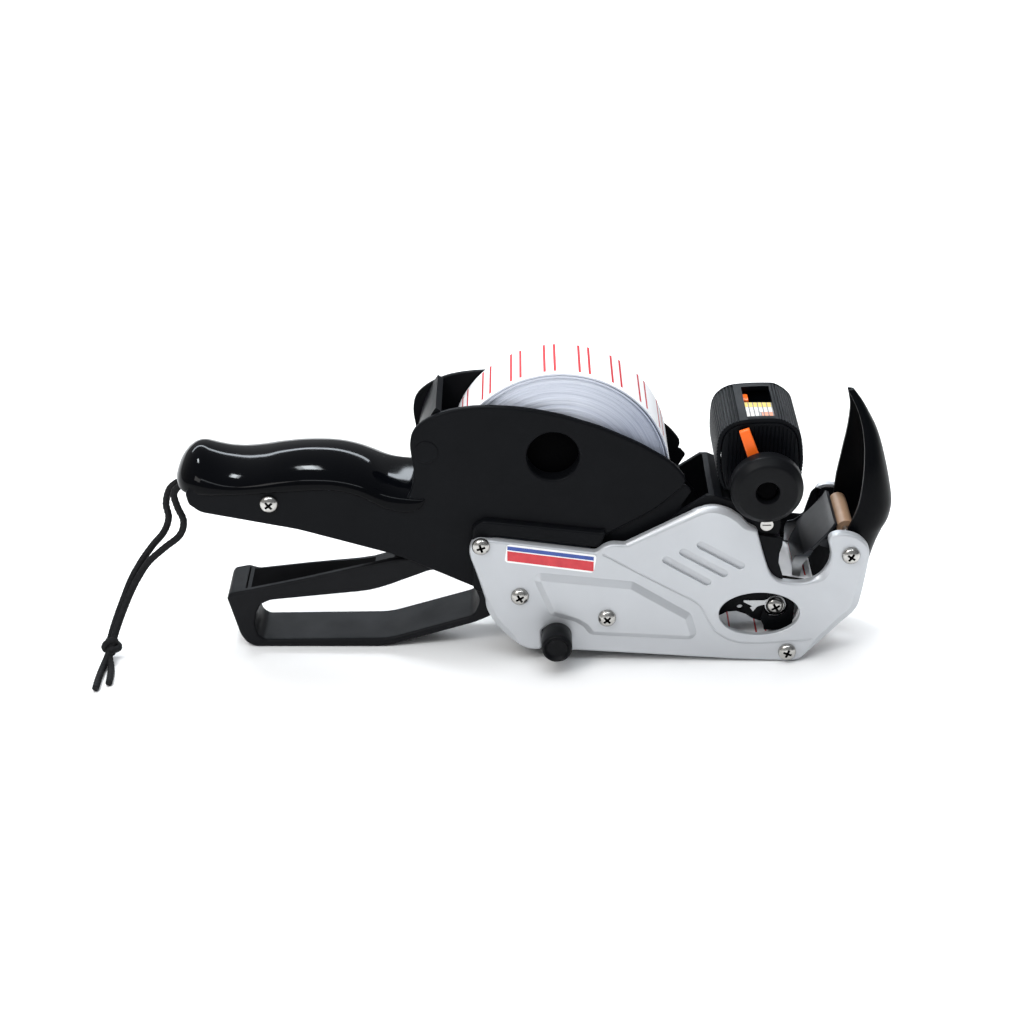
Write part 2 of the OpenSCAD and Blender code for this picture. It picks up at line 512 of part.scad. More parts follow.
// steel leaf clamped under the near feed screw
module feed_leaf() color("#a8abae") xz(-12.5, -11.9) difference() {
  union() {
    dot(FW, 3.6);
    polygon([[72.4, 20.4], [79.6, 20.5], [82, 21.6], [82, 16], [79.6, 18.8],
      [77.4, 18.1], [76.8, 17.5], [75.8, 16], [74.7, 17.6], [75.5, 18.1], [72.4, 19.8]]);
  }
  dot(FW, 1.5);
}
module feed_screws() color("#c9c9c6") for (s = [-1, 1])
  pan_screw(FW, s, s < 0 ? 12.5 : 11.9, 3.3, 3.5);
module ratchet() color("#b59a52") xz(5.6, 8) difference() {
  polygon([for (k = [0 : 11]) each [FW + 6.6 * [cos(k * 30), sin(k * 30)],
    FW + 5.4 * [cos(k * 30 + 4), sin(k * 30 + 4)]]]);
  dot(FW, 2 + run);
}
module pawl() color("#b59a52") difference() {
  union() {
    bar(PV, 2.2, 6, 7.8);
    xz(6, 7.8) polygon([[70, 19], [75.6, 21.6], [76.4, 20.8], [72.8, 16]]);
  }
  bar(PV, 1.1 + run, 4, 10);
}
module pawl_pin() color("#9a9b9d") bar(PV, 1.1, 5.6, 11.9);
module strip_guide() color("#2b2c30") difference() {
  bar([45, 24.4], 2.3, -16.8, 16.8);
  bar([45, 24.4], 3, 12.7, 20); bar([45, 24.4], 3, -20, -12.7);
}

// ---- labels ----
module label_roll() color("#f1f1f2") xz(-tape_w / 2, tape_w / 2) difference() {
  dot(RC, roll_r); dot(RC, core_r);
}
module roll_core() color("#b08d5f") xz(-tape_w / 2, tape_w / 2) difference() {
  dot(RC, core_r); dot(RC, 18.6);
}
strip_pts = [[2.7, 32.5], [20, 30], [43, 27.2], [45, 26.95], [61.4, 28.35], [76.3, 31.98],
  [77.4, 32], [94.2, 29.02], [95.5, 28.5], [96.2, 27.6], [95.6, 26.2], [93.4, 23],
  [92.1, 20.4], [91.85, 17.6], [90.8, 14], [88.4, 10.4], [84.6, 7.6], [79, 6.2],
  [72, 5.8], [50, 6.6], [20, 7.6], [-2, 7.9]];
module label_strip() color("#e9e9ea") xz(-tape_w / 2, tape_w / 2)
  ribbon(strip_pts, 0.2);

// ---- front ----
claw_prof = [[104.9, 95.2], [106.9, 95.6], [112.2, 87.6], [116.2, 80.1],
  [119.6, 69.1], [122.1, 58], [122.5, 54], [122, 50], [120.4, 46.2], [118.4, 41],
  [116.6, 34], [115.6, 31.4], [104.6, 31.4], [103.8, 37.5], [104.6, 45],
  [106.8, 49.6], [109.3, 56.7], [110.7, 68.5], [110.8, 76.3], [109.6, 85.2]];
// the lip away from the knob stands further back
claw_far = concat([for (i = [0 : 15]) claw_prof[i]], [[105, 57], [106, 66],
  [106.8, 76.5], [106.6, 85.2]]);
claw_hole = [[96, 96], [104.4, 95], [110, 87], [113.8, 79.6], [117.2, 68.7],
  [119.7, 58], [120, 54], [119.6, 50.6], [118, 46.6], [116.2, 41.2], [114.4, 34],
  [113.4, 30], [90, 30]];
claw_face = [[-0.9, 97], [-5, 86], [-9, 76.5], [-11.5, 68.5], [-13, 57], [-13.6, 49],
  [-13.6, 30], [13.6, 30], [13.6, 49], [13, 57], [11.5, 68.5], [9, 76.5],
  [5, 86], [0.9, 97]];
claw_gap = [[-3.4, 86], [-7.4, 76.5], [-9.9, 68.5], [-11.4, 57], [-12, 49],
  [-12, 29], [12, 29], [12, 49], [11.4, 57], [9.9, 68.5], [7.4, 76.5],
  [3.4, 86], [0, 93]];
module yz(x0, x1) translate([x0, 0, 0]) rotate([90, 0, 90])
  linear_extrude(height = x1 - x0) children();
module front_claw() color("#15161a") difference() {
  intersection() {
    union() { xz(-16, 0.1) polygon(claw_prof); xz(0, 16) polygon(claw_far); }
    yz(90, 130) polygon(claw_face);
  }
  intersection() { xz(-16, 16) polygon(claw_hole); yz(80, 130) polygon(claw_gap); }
  bar(S4, 2.2, -20, 20);
  bar(AP, 1, -20, 20);
}
module front_spacer() color("#9a9b9d") difference() {
  union() { bar(S4, 2.2, -16.8, 16.8); bar(S4, shaft_r, 16.8, 18);
    bar(S4, shaft_r, -18, -16.8); }
  bar(S4, 1.5, -19, -12); bar(S4, 1.5, 12, 19);
}
module applicator_roller() color("#7b5138") difference() {
  bar(AP, 2.9, -10.6, 10.6); bar(AP, 1 + run, -12, 12);
}
module applicator_axle() color("#9a9b9d") bar(AP, 1, -13.6, 13.6);

// ---- lanyard ----
module lanyard_a() color("#101113") tube(smooth(cord_a, 2), cord_d / 2, 8, [1, 0, -0.8]);
module lanyard_b() color("#101113") tube(smooth(cord_b, 2), cord_d / 2, 8, [1, 0, -0.8]);
module lanyard_knot() color("#101113") translate(knot_c) rotate([40, 25, 0])
  rotate_extrude() polygon([[0, -4.4], [2, -4.2], [3.6, -2.6], [4, 0], [3.6, 2.6],
    [2, 4.2], [0, 4.4]]);

frame_left();
frame_right();
magazine_rear_wall();
grip();
handle_spacer();
handle_screws();
lanyard_pin();
side_cover_left();
side_cover_right();
cover_screws();
sticker();
bottom_cover();
hinge_pin();
latch_bar();
latch_knobs();
latch_springs();
lever();
lever_shaft();
lever_spring();
print_arm();
arm_shaft();
head_frame();
head_hood();
head_screws();
print_bands();
band_wheels();
selector_shaft();
selector_knob();
pointer();
ink_roller();
ink_axle();
ink_arm();
ink_pivot();
platen();
platen_pad();
hold_down();
label_guide();
feed_wheel();
feed_shaft();
feed_screws();
feed_leaf();
ratchet();
pawl();
pawl_pin();
strip_guide();
label_roll();
roll_core();
label_strip();
front_claw();
front_spacer();
applicator_roller();
applicator_axle();
lanyard_a();
lanyard_b();
lanyard_knot();
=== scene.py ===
import bpy, bmesh, math, random
import numpy as np
from mathutils import Vector, Matrix


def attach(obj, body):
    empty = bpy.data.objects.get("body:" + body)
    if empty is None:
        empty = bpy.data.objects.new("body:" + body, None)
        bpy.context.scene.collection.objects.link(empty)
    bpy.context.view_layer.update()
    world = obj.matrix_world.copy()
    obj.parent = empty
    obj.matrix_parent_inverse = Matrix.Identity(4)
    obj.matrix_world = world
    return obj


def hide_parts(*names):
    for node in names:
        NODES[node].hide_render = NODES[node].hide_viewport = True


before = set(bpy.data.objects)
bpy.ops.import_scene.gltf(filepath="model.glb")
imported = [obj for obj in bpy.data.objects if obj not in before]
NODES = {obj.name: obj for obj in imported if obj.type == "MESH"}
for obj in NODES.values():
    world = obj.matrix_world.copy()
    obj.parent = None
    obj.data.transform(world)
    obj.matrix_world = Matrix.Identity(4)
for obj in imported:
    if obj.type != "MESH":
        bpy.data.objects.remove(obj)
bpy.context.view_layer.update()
scene = bpy.context.scene
K = 0.001  # millimetres to metres
rng = random.Random(7)

# ------------------------------------------------------------------ camera
E = math.radians(28.0)
AIM = Vector((-0.0081, 0.0, 0.0486))
DIST = 0.762
cam_data = bpy.data.cameras.new("camera")
cam_data.sensor_width = 36.0
cam_data.lens = 36.0 * 2200.0 / 1024.0
cam = bpy.data.objects.new("camera", cam_data)
cam.location = AIM + DIST * Vector((0, -math.cos(E), math.sin(E)))
cam.rotation_euler = (math.pi / 2 - E, 0, 0)
cam_data.clip_start = 0.01
scene.collection.objects.link(cam)
scene.camera = cam
scene.view_settings.view_transform = "Standard"
scene.view_settings.look = "None"


# ------------------------------------------------------------------ nodes
def new_mat(name):
    m = bpy.data.materials.new(name)
    m.use_nodes = True
    t = m.node_tree
    b = t.nodes["Principled BSDF"]
    return m, t, b


def add(t, kind, **kw):
    n = t.nodes.new(kind)
    for k, v in kw.items():
        setattr(n, k, v)
    return n


def coords(t):
    return add(t, "ShaderNodeTexCoord").outputs["Object"]


def noise(t, scale, detail=3.0, rough=0.55, vec=None):
    n = add(t, "ShaderNodeTexNoise")
    n.inputs["Scale"].default_value = scale
    n.inputs["Detail"].default_value = detail
    n.inputs["Roughness"].default_value = rough
    t.links.new(vec if vec is not None else coords(t), n.inputs["Vector"])
    return n.outputs["Fac"]


def ramp(t, fac, stops):
    r = add(t, "ShaderNodeValToRGB")
    e = r.color_ramp.elements
    while len(e) < len(stops):
        e.new(0.5)
    for el, (p, c) in zip(e, stops):
        el.position = p
        el.color = (*c, 1) if len(c) == 3 else c
    t.links.new(fac, r.inputs["Fac"])
    return r.outputs["Color"]


def remap(t, fac, lo, hi, a=0.3, b=0.7):
    r = add(t, "ShaderNodeMapRange")
    r.inputs["From Min"].default_value = a
    r.inputs["From Max"].default_value = b
    r.inputs["To Min"].default_value = lo
    r.inputs["To Max"].default_value = hi
    t.links.new(fac, r.inputs["Value"])
    return r.outputs["Result"]


def math_(t, op, a, b=None, clamp=False):
    n = add(t, "ShaderNodeMath", operation=op)
    n.use_clamp = clamp
    for i, v in enumerate((a, b)):
        if v is None:
            continue
        if isinstance(v, (int, float)):
            n.inputs[i].default_value = v
        else:
            t.links.new(v, n.inputs[i])
    return n.outputs[0]


def bump(t, b, height, strength, dist=0.0002):
    n = add(t, "ShaderNodeBump")
    n.inputs["Strength"].default_value = strength
    n.inputs["Distance"].default_value = dist
    t.links.new(height, n.inputs["Height"])
    t.links.new(n.outputs["Normal"], b.inputs["Normal"])
    return n


def mixc(t, fac, a, b):
    n = add(t, "ShaderNodeMix", data_type="RGBA")
    if isinstance(fac, (int, float)):
        n.inputs[0].default_value = fac
    else:
        t.links.new(fac, n.inputs[0])
    for i, c in ((6, a), (7, b)):
        if isinstance(c, tuple):
            n.inputs[i].default_value = (*c, 1)
        else:
            t.links.new(c, n.inputs[i])
    return n.outputs[2]


def finish_mat(name, base, rough, metal=0.0, spec=0.5, var=0.10, vscale=45.0,
               rvar=0.06, rscale=70.0, grain=900.0, gstr=0.12, gdist=0.00006,
               coat=0.0, coat_rough=0.1, streak=None):
    """Moulded, painted or metal finish: mottled colour, uneven gloss and a fine surface grain."""
    m, t, b = new_mat(name)
    n1 = noise(t, vscale, 4.0)
    lo = tuple(max(0.0, c * (1 - var)) for c in base)
    hi = tuple(min(1.0, c * (1 + var)) for c in base)
    t.links.new(ramp(t, n1, [(0.3, lo), (0.7, hi)]), b.inputs["Base Color"])
    n2 = noise(t, rscale, 5.0)
    t.links.new(remap(t, n2, rough - rvar, rough + rvar), b.inputs["Roughness"])
    if streak:
        mp = add(t, "ShaderNodeMapping")
        mp.inputs["Scale"].default_value = streak
        t.links.new(coords(t), mp.inputs["Vector"])
        n3 = noise(t, grain, 2.0, vec=mp.outputs["Vector"])
    else:
        n3 = noise(t, grain, 2.0)
    bump(t, b, n3, gstr, gdist)
    b.inputs["Metallic"].default_value = metal
    b.inputs["Specular IOR Level"].default_value = spec
    b.inputs["Coat Weight"].default_value = coat
    b.inputs["Coat Roughness"].default_value = coat_rough
    return m


M = {
    "body": finish_mat("body_black", (0.0040, 0.0044, 0.0054), 0.42, spec=0.06, grain=1500, gstr=0.10),
    "lever": finish_mat("lever_black", (0.0054, 0.0058, 0.0070), 0.46, spec=0.10, grain=1300, gstr=0.12),
    "grip": finish_mat("grip_gloss", (0.0012, 0.0014, 0.0020), 0.075, spec=0.065, rvar=0.02, grain=160, gstr=0.02),
    "silver": finish_mat("silver_paint", (0.472, 0.486, 0.508), 0.40, metal=0.42, spec=0.5, var=0.03, vscale=30,
                         rvar=0.04, grain=2600, gstr=0.10, gdist=0.00004),
    "nickel": finish_mat("nickel", (0.46, 0.45, 0.43), 0.24, metal=1.0, var=0.08, rvar=0.06, grain=700, gstr=0.05),
    "steel": finish_mat("steel", (0.46, 0.47, 0.48), 0.30, metal=1.0, var=0.08, grain=500, gstr=0.10,
                        streak=(1, 12, 1)),
    "knob": finish_mat("knob_black", (0.0036, 0.0039, 0.0047), 0.40, spec=0.10, grain=1100, gstr=0.16),
    "hood": finish_mat("hood_black", (0.0026, 0.0032, 0.0044), 0.36, spec=0.06, grain=1300, gstr=0.08),
    "claw": finish_mat("claw_black", (0.0020, 0.0023, 0.0031), 0.36, spec=0.055, grain=1200, gstr=0.08),
    "orange": finish_mat("pointer_orange", (0.88, 0.135, 0.008), 0.38, var=0.05, grain=800, gstr=0.06),
    "ink": finish_mat("ink_felt", (0.008, 0.007, 0.011), 0.85, spec=0.2, var=0.4, vscale=600, grain=900, gstr=0.6, gdist=0.0003),
    "rubber": finish_mat("pad_rubber", (0.022, 0.018, 0.017), 0.70, spec=0.2, var=0.2, grain=900, gstr=0.3),
    "brass": finish_mat("brass", (0.52, 0.39, 0.17), 0.32, metal=1.0, grain=600, gstr=0.1),
    "card": finish_mat("core_card", (0.40, 0.28, 0.165), 0.85, var=0.18, vscale=200, grain=700, gstr=0.4),
    "brown": finish_mat("brown_roller", (0.30, 0.185, 0.115), 0.45, var=0.15, vscale=160, grain=700, gstr=0.2),
    "guide": finish_mat("guide_grey", (0.014, 0.015, 0.018), 0.36, metal=0.25, spec=0.3, grain=900, gstr=0.08),
    # near-black used as painted shade in hollows: screw crosses, hub floors, lever channel, selector hole
    "recess": finish_mat("painted_shade_black", (0.0007, 0.0007, 0.0009), 0.7, spec=0.02, grain=800, gstr=0.1),
}


# ------------------------------------------------------------------ mesh helpers
def obj_from(name, verts, faces, mat, smooth=True):
    me = bpy.data.meshes.new(name)
    me.from_pydata([tuple(K * c for c in v) for v in verts], [], faces)
    return _wrap(name, me, mat, smooth)


def _wrap(name, me, mat, smooth=True, merge=False):
    bm = bmesh.new()
    bm.from_mesh(me)
    if merge:
        bmesh.ops.remove_doubles(bm, verts=bm.verts, dist=1e-7)
    bmesh.ops.recalc_face_normals(bm, faces=bm.faces)
    bm.to_mesh(me)
    bm.free()
    if smooth:
        me.shade_smooth()
        me.set_sharp_from_angle(angle=math.radians(38))
    o = bpy.data.objects.new(name, me)
    scene.collection.objects.link(o)
    me.materials.append(mat)
    return o


def flat_normals(o):
    w = o.modifiers.new("weighted", "WEIGHTED_NORMAL")
    w.keep_sharp = True
    w.weight = 80
    return o


def area2(p):
    return 0.5 * sum(p[i - 1][0] * p[i][1] - p[i][0] * p[i - 1][1] for i in range(len(p)))


def ccw(p):
    return list(p) if area2(p) > 0 else list(p)[::-1]


def cw(p):
    return ccw(p)[::-1]


def fillet(pts, r, step=14.0):
    """Round the corners of a closed outline; r is one radius, or one for each corner."""
    n, out = len(pts), []
    for i in range(n):
        a, b, c = Vector(pts[i - 1]), Vector(pts[i]), Vector(pts[(i + 1) % n])
        ri = r[i] if isinstance(r, (list, tuple)) else r
        u, v = a - b, c - b
        lu, lv = u.length, v.length
        u, v = u / lu, v / lv
        ang = math.acos(max(-1, min(1, u.dot(v))))
        if ri <= 0 or ang > math.radians(178.5):
            out.append((b.x, b.y))
            continue
        t = min(ri / math.tan(ang / 2), lu * 0.49, lv * 0.49)
        rr = t * math.tan(ang / 2)
        p0, p1 = b + u * t, b + v * t
        ctr = b + (u + v).normalized() * (rr / math.sin(ang / 2))
        a0 = math.atan2(p0.y - ctr.y, p0.x - ctr.x)
        a1 = math.atan2(p1.y - ctr.y, p1.x - ctr.x)
        d = (a1 - a0 + math.pi) % (2 * math.pi) - math.pi
        k = max(2, int(math.ceil(abs(math.degrees(d)) / step)))
        for j in range(k + 1):
            s = a0 + d * j / k
            out.append((ctr.x + rr * math.cos(s), ctr.y + rr * math.sin(s)))
    res = [out[0]]
    for p in out[1:]:
        if math.hypot(p[0] - res[-1][0], p[1] - res[-1][1]) > 0.02:
            res.append(p)
    if math.hypot(res[0][0] - res[-1][0], res[0][1] - res[-1][1]) < 0.02:
        res.pop()
    return res


def offset(p, d):
    """Move each point d to the left of its path, so an outline that runs counter-clockwise shrinks."""
    n, out = len(p), []
    dist = d if isinstance(d, (list, tuple)) else [d] * n
    for i in range(n):
        a, b, c = p[i - 1], p[i], p[(i + 1) % n]
        d1 = Vector((b[0] - a[0], b[1] - a[1])).normalized()
        d2 = Vector((c[0] - b[0], c[1] - b[1])).normalized()
        n1, n2 = Vector((-d1.y, d1.x)), Vector((-d2.y, d2.x))
        q = (n1 + n2) / max(0.35, 1 + n1.dot(n2))
        out.append((b[0] + dist[i] * q.x, b[1] + dist[i] * q.y))
    return out


def circle(c, r, n=48):
    return [(c[0] + r * math.cos(2 * math.pi * k / n), c[1] + r * math.sin(2 * math.pi * k / n)) for k in range(n)]


def ellipse(c, rx, rz, n=64):
    return [(c[0] + rx * math.cos(2 * math.pi * k / n), c[1] + rz * math.sin(2 * math.pi * k / n)) for k in range(n)]


def plate_bm(bm, outer, holes, y0, y1, b0, b1, seg=4, tray=None, hole_b=None, grooves=(), cham=None):
    """Flat part of the x-z plane between y0 and y1 with rounded edges. tray = (wall, y) hollows its back.
    grooves are outlines with rings of (inset, depth) pressed into or out of the face at y0.
    cham(x, z) from 0 to 1 turns the rounded front edge into a wide flat chamfer there."""
    s = 1 if y1 > y0 else -1
    arc = [math.pi / 2 * k / seg for k in range(seg + 1)]

    def prof(f, g, end):
        q = [(f * (1 - math.sin(a)), y0 + s * f * (1 - math.cos(a))) for a in arc] if f > 0 else [(0, y0)]
        q += [(g * (1 - math.sin(a)), end - s * g * (1 - math.cos(a))) for a in arc[::-1]] if g > 0 else [(0, end)]
        return q

    loops = []
    po = prof(b0, b1, y1)
    if tray:
        po += [(tray[0], y1), (tray[0], tray[1])]
    loops.append((ccw(outer), po))
    hb = b0 if hole_b is None else hole_b
    for h in holes:
        loops.append((cw(h), prof(hb, 0 if tray else min(b1, hb), tray[1] if tray else y1)))
    caps = [[], []]

    def ring_of(pts, ins, ys):
        q = offset(pts, ins)
        return [bm.verts.new((K * x, K * y, K * z)) for (x, z), y in zip(q, ys)]

    def skin(rings):
        for a, b in zip(rings, rings[1:]):
            for i in range(len(a)):
                j = (i + 1) % len(a)
                bm.faces.new((a[i], a[j], b[j], b[i]))

    def rim(r):
        return [bm.edges.get((r[i], r[(i + 1) % len(r)])) for i in range(len(r))]

    for n, (pts, pr) in enumerate(loops):
        rings = []
        wts = [cham(x, z) for x, z in pts] if cham and n == 0 else [0.0] * len(pts)
        for k, (ins, y) in enumerate(pr):
            if k <= seg:
                f = k / seg
                wide = [2.7 * (1 - f)] * len(pts)
                deep = [y0 + s * 1.7 * f] * len(pts)
                d = [(1 - w) * ins + w * a for w, a in zip(wts, wide)]
                ys = [(1 - w) * y + w * a for w, a in zip(wts, deep)]
            else:
                d, ys = [ins] * len(pts), [y] * len(pts)
            rings.append(ring_of(pts, d, ys))
        skin(rings)
        caps[0] += rim(rings[0])
        caps[1] += rim(rings[-1])
    for pts, steps in grooves:
        pts = cw(pts)
        rings = []
        for ins, dep in steps:
            q = offset(pts, [-ins] * len(pts))
            ys = [y0 + s * (dep(x, z) if callable(dep) else dep) for x, z in q]
            rings.append([bm.verts.new((K * x, K * y, K * z)) for (x, z), y in zip(q, ys)])
        skin(rings)
        caps[0] += rim(rings[0])
        bmesh.ops.triangle_fill(bm, edges=rim(rings[-1]), use_beauty=True, use_dissolve=False)
    for c in caps:
        bmesh.ops.triangle_fill(bm, edges=c, use_beauty=True, use_dissolve=False)


def plate(name, parts, mat, sharp=50):
    """One object from several flat parts, each a dict of plate_bm's arguments."""
    bm = bmesh.new()
    for p in parts:
        plate_bm(bm, **p)
    bmesh.ops.recalc_face_normals(bm, faces=bm.faces)
    me = bpy.data.meshes.new(name)
    bm.to_mesh(me)
    bm.free()
    me.shade_smooth()
    me.set_sharp_from_angle(angle=math.radians(sharp))
    o = bpy.data.objects.new(name, me)
    scene.collection.objects.link(o)
    me.materials.append(mat)
    return flat_normals(o)


def lathe_data(prof, seg=64):
    """Verts and faces of a profile of (radius, height) turned about +Z; radius 0 closes it."""
    verts, faces, rings = [], [], []
    for r, h in prof:
        if r < 1e-6:
            rings.append([len(verts)])
            verts.append((0, 0, h))
        else:
            rings.append(list(range(len(verts), len(verts) + seg)))
            verts += [(r * math.cos(2 * math.pi * k / seg), r * math.sin(2 * math.pi * k / seg), h) for k in range(seg)]
    for a, b in zip(rings, rings[1:]):
        for k in range(seg):
            j = (k + 1) % seg
            if len(a) == 1 and len(b) == 1:
                continue
            if len(a) == 1:
                faces.append((a[0], b[k], b[j]))
            elif len(b) == 1:
                faces.append((a[k], a[j], b[0]))
            else:
                faces.append((a[k], a[j], b[j], b[k]))
    return verts, faces


def place(verts, c, side):
    """Turn +Z into the outward direction of a side (-1 near, 1 far) and move to c = (x, y, z)."""
    return [(c[0] + x, c[1] + side * z, c[2] + y) for x, y, z in verts]


def loft(name, rings, mat, caps=True, closed=True, smooth=True):
    n = len(rings[0])
    verts = [p for r in rings for p in r]
    faces = []
    for i in range(len(rings) - 1):
        for k in range(n if closed else n - 1):
            j = (k + 1) % n
            faces.append((i * n + k, i * n + j, (i + 1) * n + j, (i + 1) * n + k))
    if caps:
        faces.append(tuple(range(n))[::-1])
        faces.append(tuple(range((len(rings) - 1) * n, len(rings) * n)))
    return obj_from(name, verts, faces, mat, smooth)


def curve(tab, x):
    """Smooth curve through a table of (x, value)."""
    xs = [p[0] for p in tab]
    if x <= xs[0]:
        return tab[0][1]
    if x >= xs[-1]:
        return tab[-1][1]
    i = max(k for k in range(len(xs) - 1) if xs[k] <= x)

    def slope(k):
        if k == 0 or k == len(xs) - 1:
            a, b = (0, 1) if k == 0 else (k - 1, k)
        else:
            a, b = k - 1, k + 1
        return (tab[b][1] - tab[a][1]) / (xs[b] - xs[a])

    h = xs[i + 1] - xs[i]
    t = (x - xs[i]) / h
    m0, m1 = slope(i) * h, slope(i + 1) * h
    return ((2 * t**3 - 3 * t**2 + 1) * tab[i][1] + (t**3 - 2 * t**2 + t) * m0
            + (-2 * t**3 + 3 * t**2) * tab[i + 1][1] + (t**3 - t**2) * m1)


def stand(o, body, slot_name, *nodes):
    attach(o, body)
    if nodes:
        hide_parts(*nodes)
    return o


def boolean(o, cutters):
    for c in cutters:
        m = o.modifiers.new("cut", "BOOLEAN")
        m.operation = "DIFFERENCE"
        m.solver = "EXACT"
        m.object = c
    bpy.context.view_layer.update()
    dg = bpy.context.evaluated_depsgraph_get()
    me = bpy.data.meshes.new_from_object(o.evaluated_get(dg))
    old = o.data
    o.modifiers.clear()
    o.data = me
    bpy.data.meshes.remove(old)
    for c in cutters:
        bpy.data.objects.remove(c)
    return o


def join_data(name, groups, mat, smooth=True):
    verts, faces = [], []
    for v, f in groups:
        n = len(verts)
        verts += v
        faces += [tuple(i + n for i in q) for q in f]
    return obj_from(name, verts, faces, mat, smooth)


# ------------------------------------------------------------------ lanyard
def smooth_path(p, s):
    out = []
    for i in range(len(p) - 1):
        a, b, c, d = (Vector(p[max(i - 1, 0)]), Vector(p[i]), Vector(p[i + 1]), Vector(p[min(i + 2, len(p) - 1)]))
        for j in range(s):
            t = j / s
            out.append(0.5 * (2 * b + (c - a) * t + (2 * a - 5 * b + 4 * c - d) * t * t
                              + (3 * b - a - 3 * c + d) * t**3))
    out.append(Vector(p[-1]))
    return out


def resample(p, step):
    L = [0.0]
    for a, b in zip(p, p[1:]):
        L.append(L[-1] + (b - a).length)
    n = max(2, int(round(L[-1] / step)))
    out, k = [], 0
    for i in range(n + 1):
        s = L[-1] * i / n
        while k < len(p) - 2 and L[k + 1] < s:
            k += 1
        t = (s - L[k]) / max(1e-9, L[k + 1] - L[k])
        out.append(p[k].lerp(p[k + 1], min(1, max(0, t))))
    return out, L[-1]


def braid(name, pts, r, mat, strands=4, pitch=3.4, step=0.30, sides=24, amp=0.11, closed=False, fray=False):
    """Braided cord along points in mm: two sets of yarns cross over and under round its skin."""
    p, length = resample(pts, step)
    verts, faces = [], []
    t0 = (p[1] - p[0]).normalized()
    u = t0.cross(Vector((0.31, 0.9, 0.2))).normalized()
    s = 0.0
    n = len(p)
    for i in range(n):
        a, b = p[max(i - 1, 0)], p[min(i + 1, n - 1)]
        if closed:
            a, b = p[(i - 1) % (n - 1)], p[(i + 1) % (n - 1)]
        t = (b - a).normalized()
        u = (u - t * u.dot(t)).normalized()
        v = t.cross(u)
        if i:
            s += (p[i] - p[i - 1]).length
        end = 1.0
        if not closed:
            e = min(s, length - s)
            end = math.sqrt(max(0.0, 1 - (1 - min(1, (e + 0.25) / 0.7)) ** 2))
        for k in range(sides):
            th = 2 * math.pi * k / sides
            w1 = strands * th / 2 + 2 * math.pi * s / pitch
            w2 = strands * th / 2 - 2 * math.pi * s / pitch
            h = abs(math.sin(w1) * math.sin(w2))
            rr = r * end * (1 - amp + amp * h**0.7)
            verts.append(p[i] + rr * (math.cos(th) * u + math.sin(th) * v))
    for i in range(n - 1):
        for k in range(sides):
            j = (k + 1) % sides
            faces.append((i * sides + k, i * sides + j, (i + 1) * sides + j, (i + 1) * sides + k))
    faces.append(tuple(range(sides))[::-1])
    faces.append(tuple(range((n - 1) * sides, n * sides)))
    o = obj_from(name, verts, faces, mat)
    return o, [tuple(K * c for c in q) for q in p], length * K


M["cord"] = finish_mat("cord_black", (0.0062, 0.0062, 0.0070), 0.72, spec=0.18, var=0.45, vscale=900,
                       grain=2600, gstr=0.5, gdist=0.00012)

CORD_A = [(-115.6, -1.6, 59.75), (-119.5, -1.6, 60.2), (-122.5, -1.7, 59.4), (-124.4, -1.8, 56.4),
          (-123.5, -1.8, 51.5), (-121.8, -1.8, 46), (-123.5, -2, 40.5), (-129, -2.8, 36), (-134.5, -4.6, 31.5),
          (-138.5, -6.6, 26), (-141.5, -9, 20.5), (-144, -12, 15), (-146, -15, 10), (-147.5, -18.2, 5.6),
          (-149, -22.5, 2.4), (-149.8, -27.5, 1.4), (-150, -33, 1.4), (-150, -39.5, 1.4)]
CORD_B = [(-115.6, 1.6, 59.75), (-119.5, 1.6, 60.2), (-123, 1.7, 59.6), (-126.4, 1.8, 56.6), (-128, 1.8, 51),
          (-127.5, 1.8, 45.5), (-129.5, 1.5, 40), (-133.5, 0, 35.5), (-137.5, -2.5, 30.5), (-141, -5.4, 25),
          (-143.5, -8.6, 19.5), (-145.8, -11.8, 14), (-147.6, -14.6, 9), (-148.6, -17.4, 5), (-148, -21.4, 2.4),
          (-146.8, -26, 1.4), (-146.2, -31, 1.4), (-146, -36, 1.4)]
KNOT_C = Vector((-147.7, -17.4, 4.8))
knot_pts = []
rot = Matrix.Rotation(math.radians(-52), 3, "X") @ Matrix.Rotation(math.radians(18), 3, "Y")
for k in range(121):
    q = 2 * math.pi * k / 120
    v = Vector(((1.55 + 0.95 * math.cos(3 * q)) * math.cos(2 * q), (1.55 + 0.95 * math.cos(3 * q)) * math.sin(2 * q),
                1.75 * math.sin(3 * q)))
    knot_pts.append(KNOT_C + Vector((0, 0, 0.15)) + rot @ v)
knot, _, _ = braid("lanyard_knot_tied", knot_pts, 1.28, M["cord"], sides=18, step=0.4, closed=True)
stand(knot, "body", "cord", "lanyard_knot")
for nm, pts, node in (("lanyard_strand_a", CORD_A, "lanyard_a"), ("lanyard_strand_b", CORD_B, "lanyard_b")):
    o, path, length = braid(nm, smooth_path(pts, 8), 1.3, M["cord"])
    stand(o, "body", "cord", node)

# ------------------------------------------------------------------ floor and light
fl = bpy.data.meshes.new("floor")
fl.from_pydata([(-6, -6, 0), (6, -6, 0), (6, 6, 0), (-6, 6, 0)], [], [(0, 1, 2, 3)])
floor = bpy.data.objects.new("floor", fl)
scene.collection.objects.link(floor)
m, t, b = new_mat("floor_white")
t.links.new(ramp(t, noise(t, 3.0), [(0.3, (0.90, 0.90, 0.90)), (0.7, (0.915, 0.915, 0.915))]), b.inputs["Base Color"])
b.inputs["Roughness"].default_value = 0.75
b.inputs["Specular IOR Level"].default_value = 0.15
fl.materials.append(m)


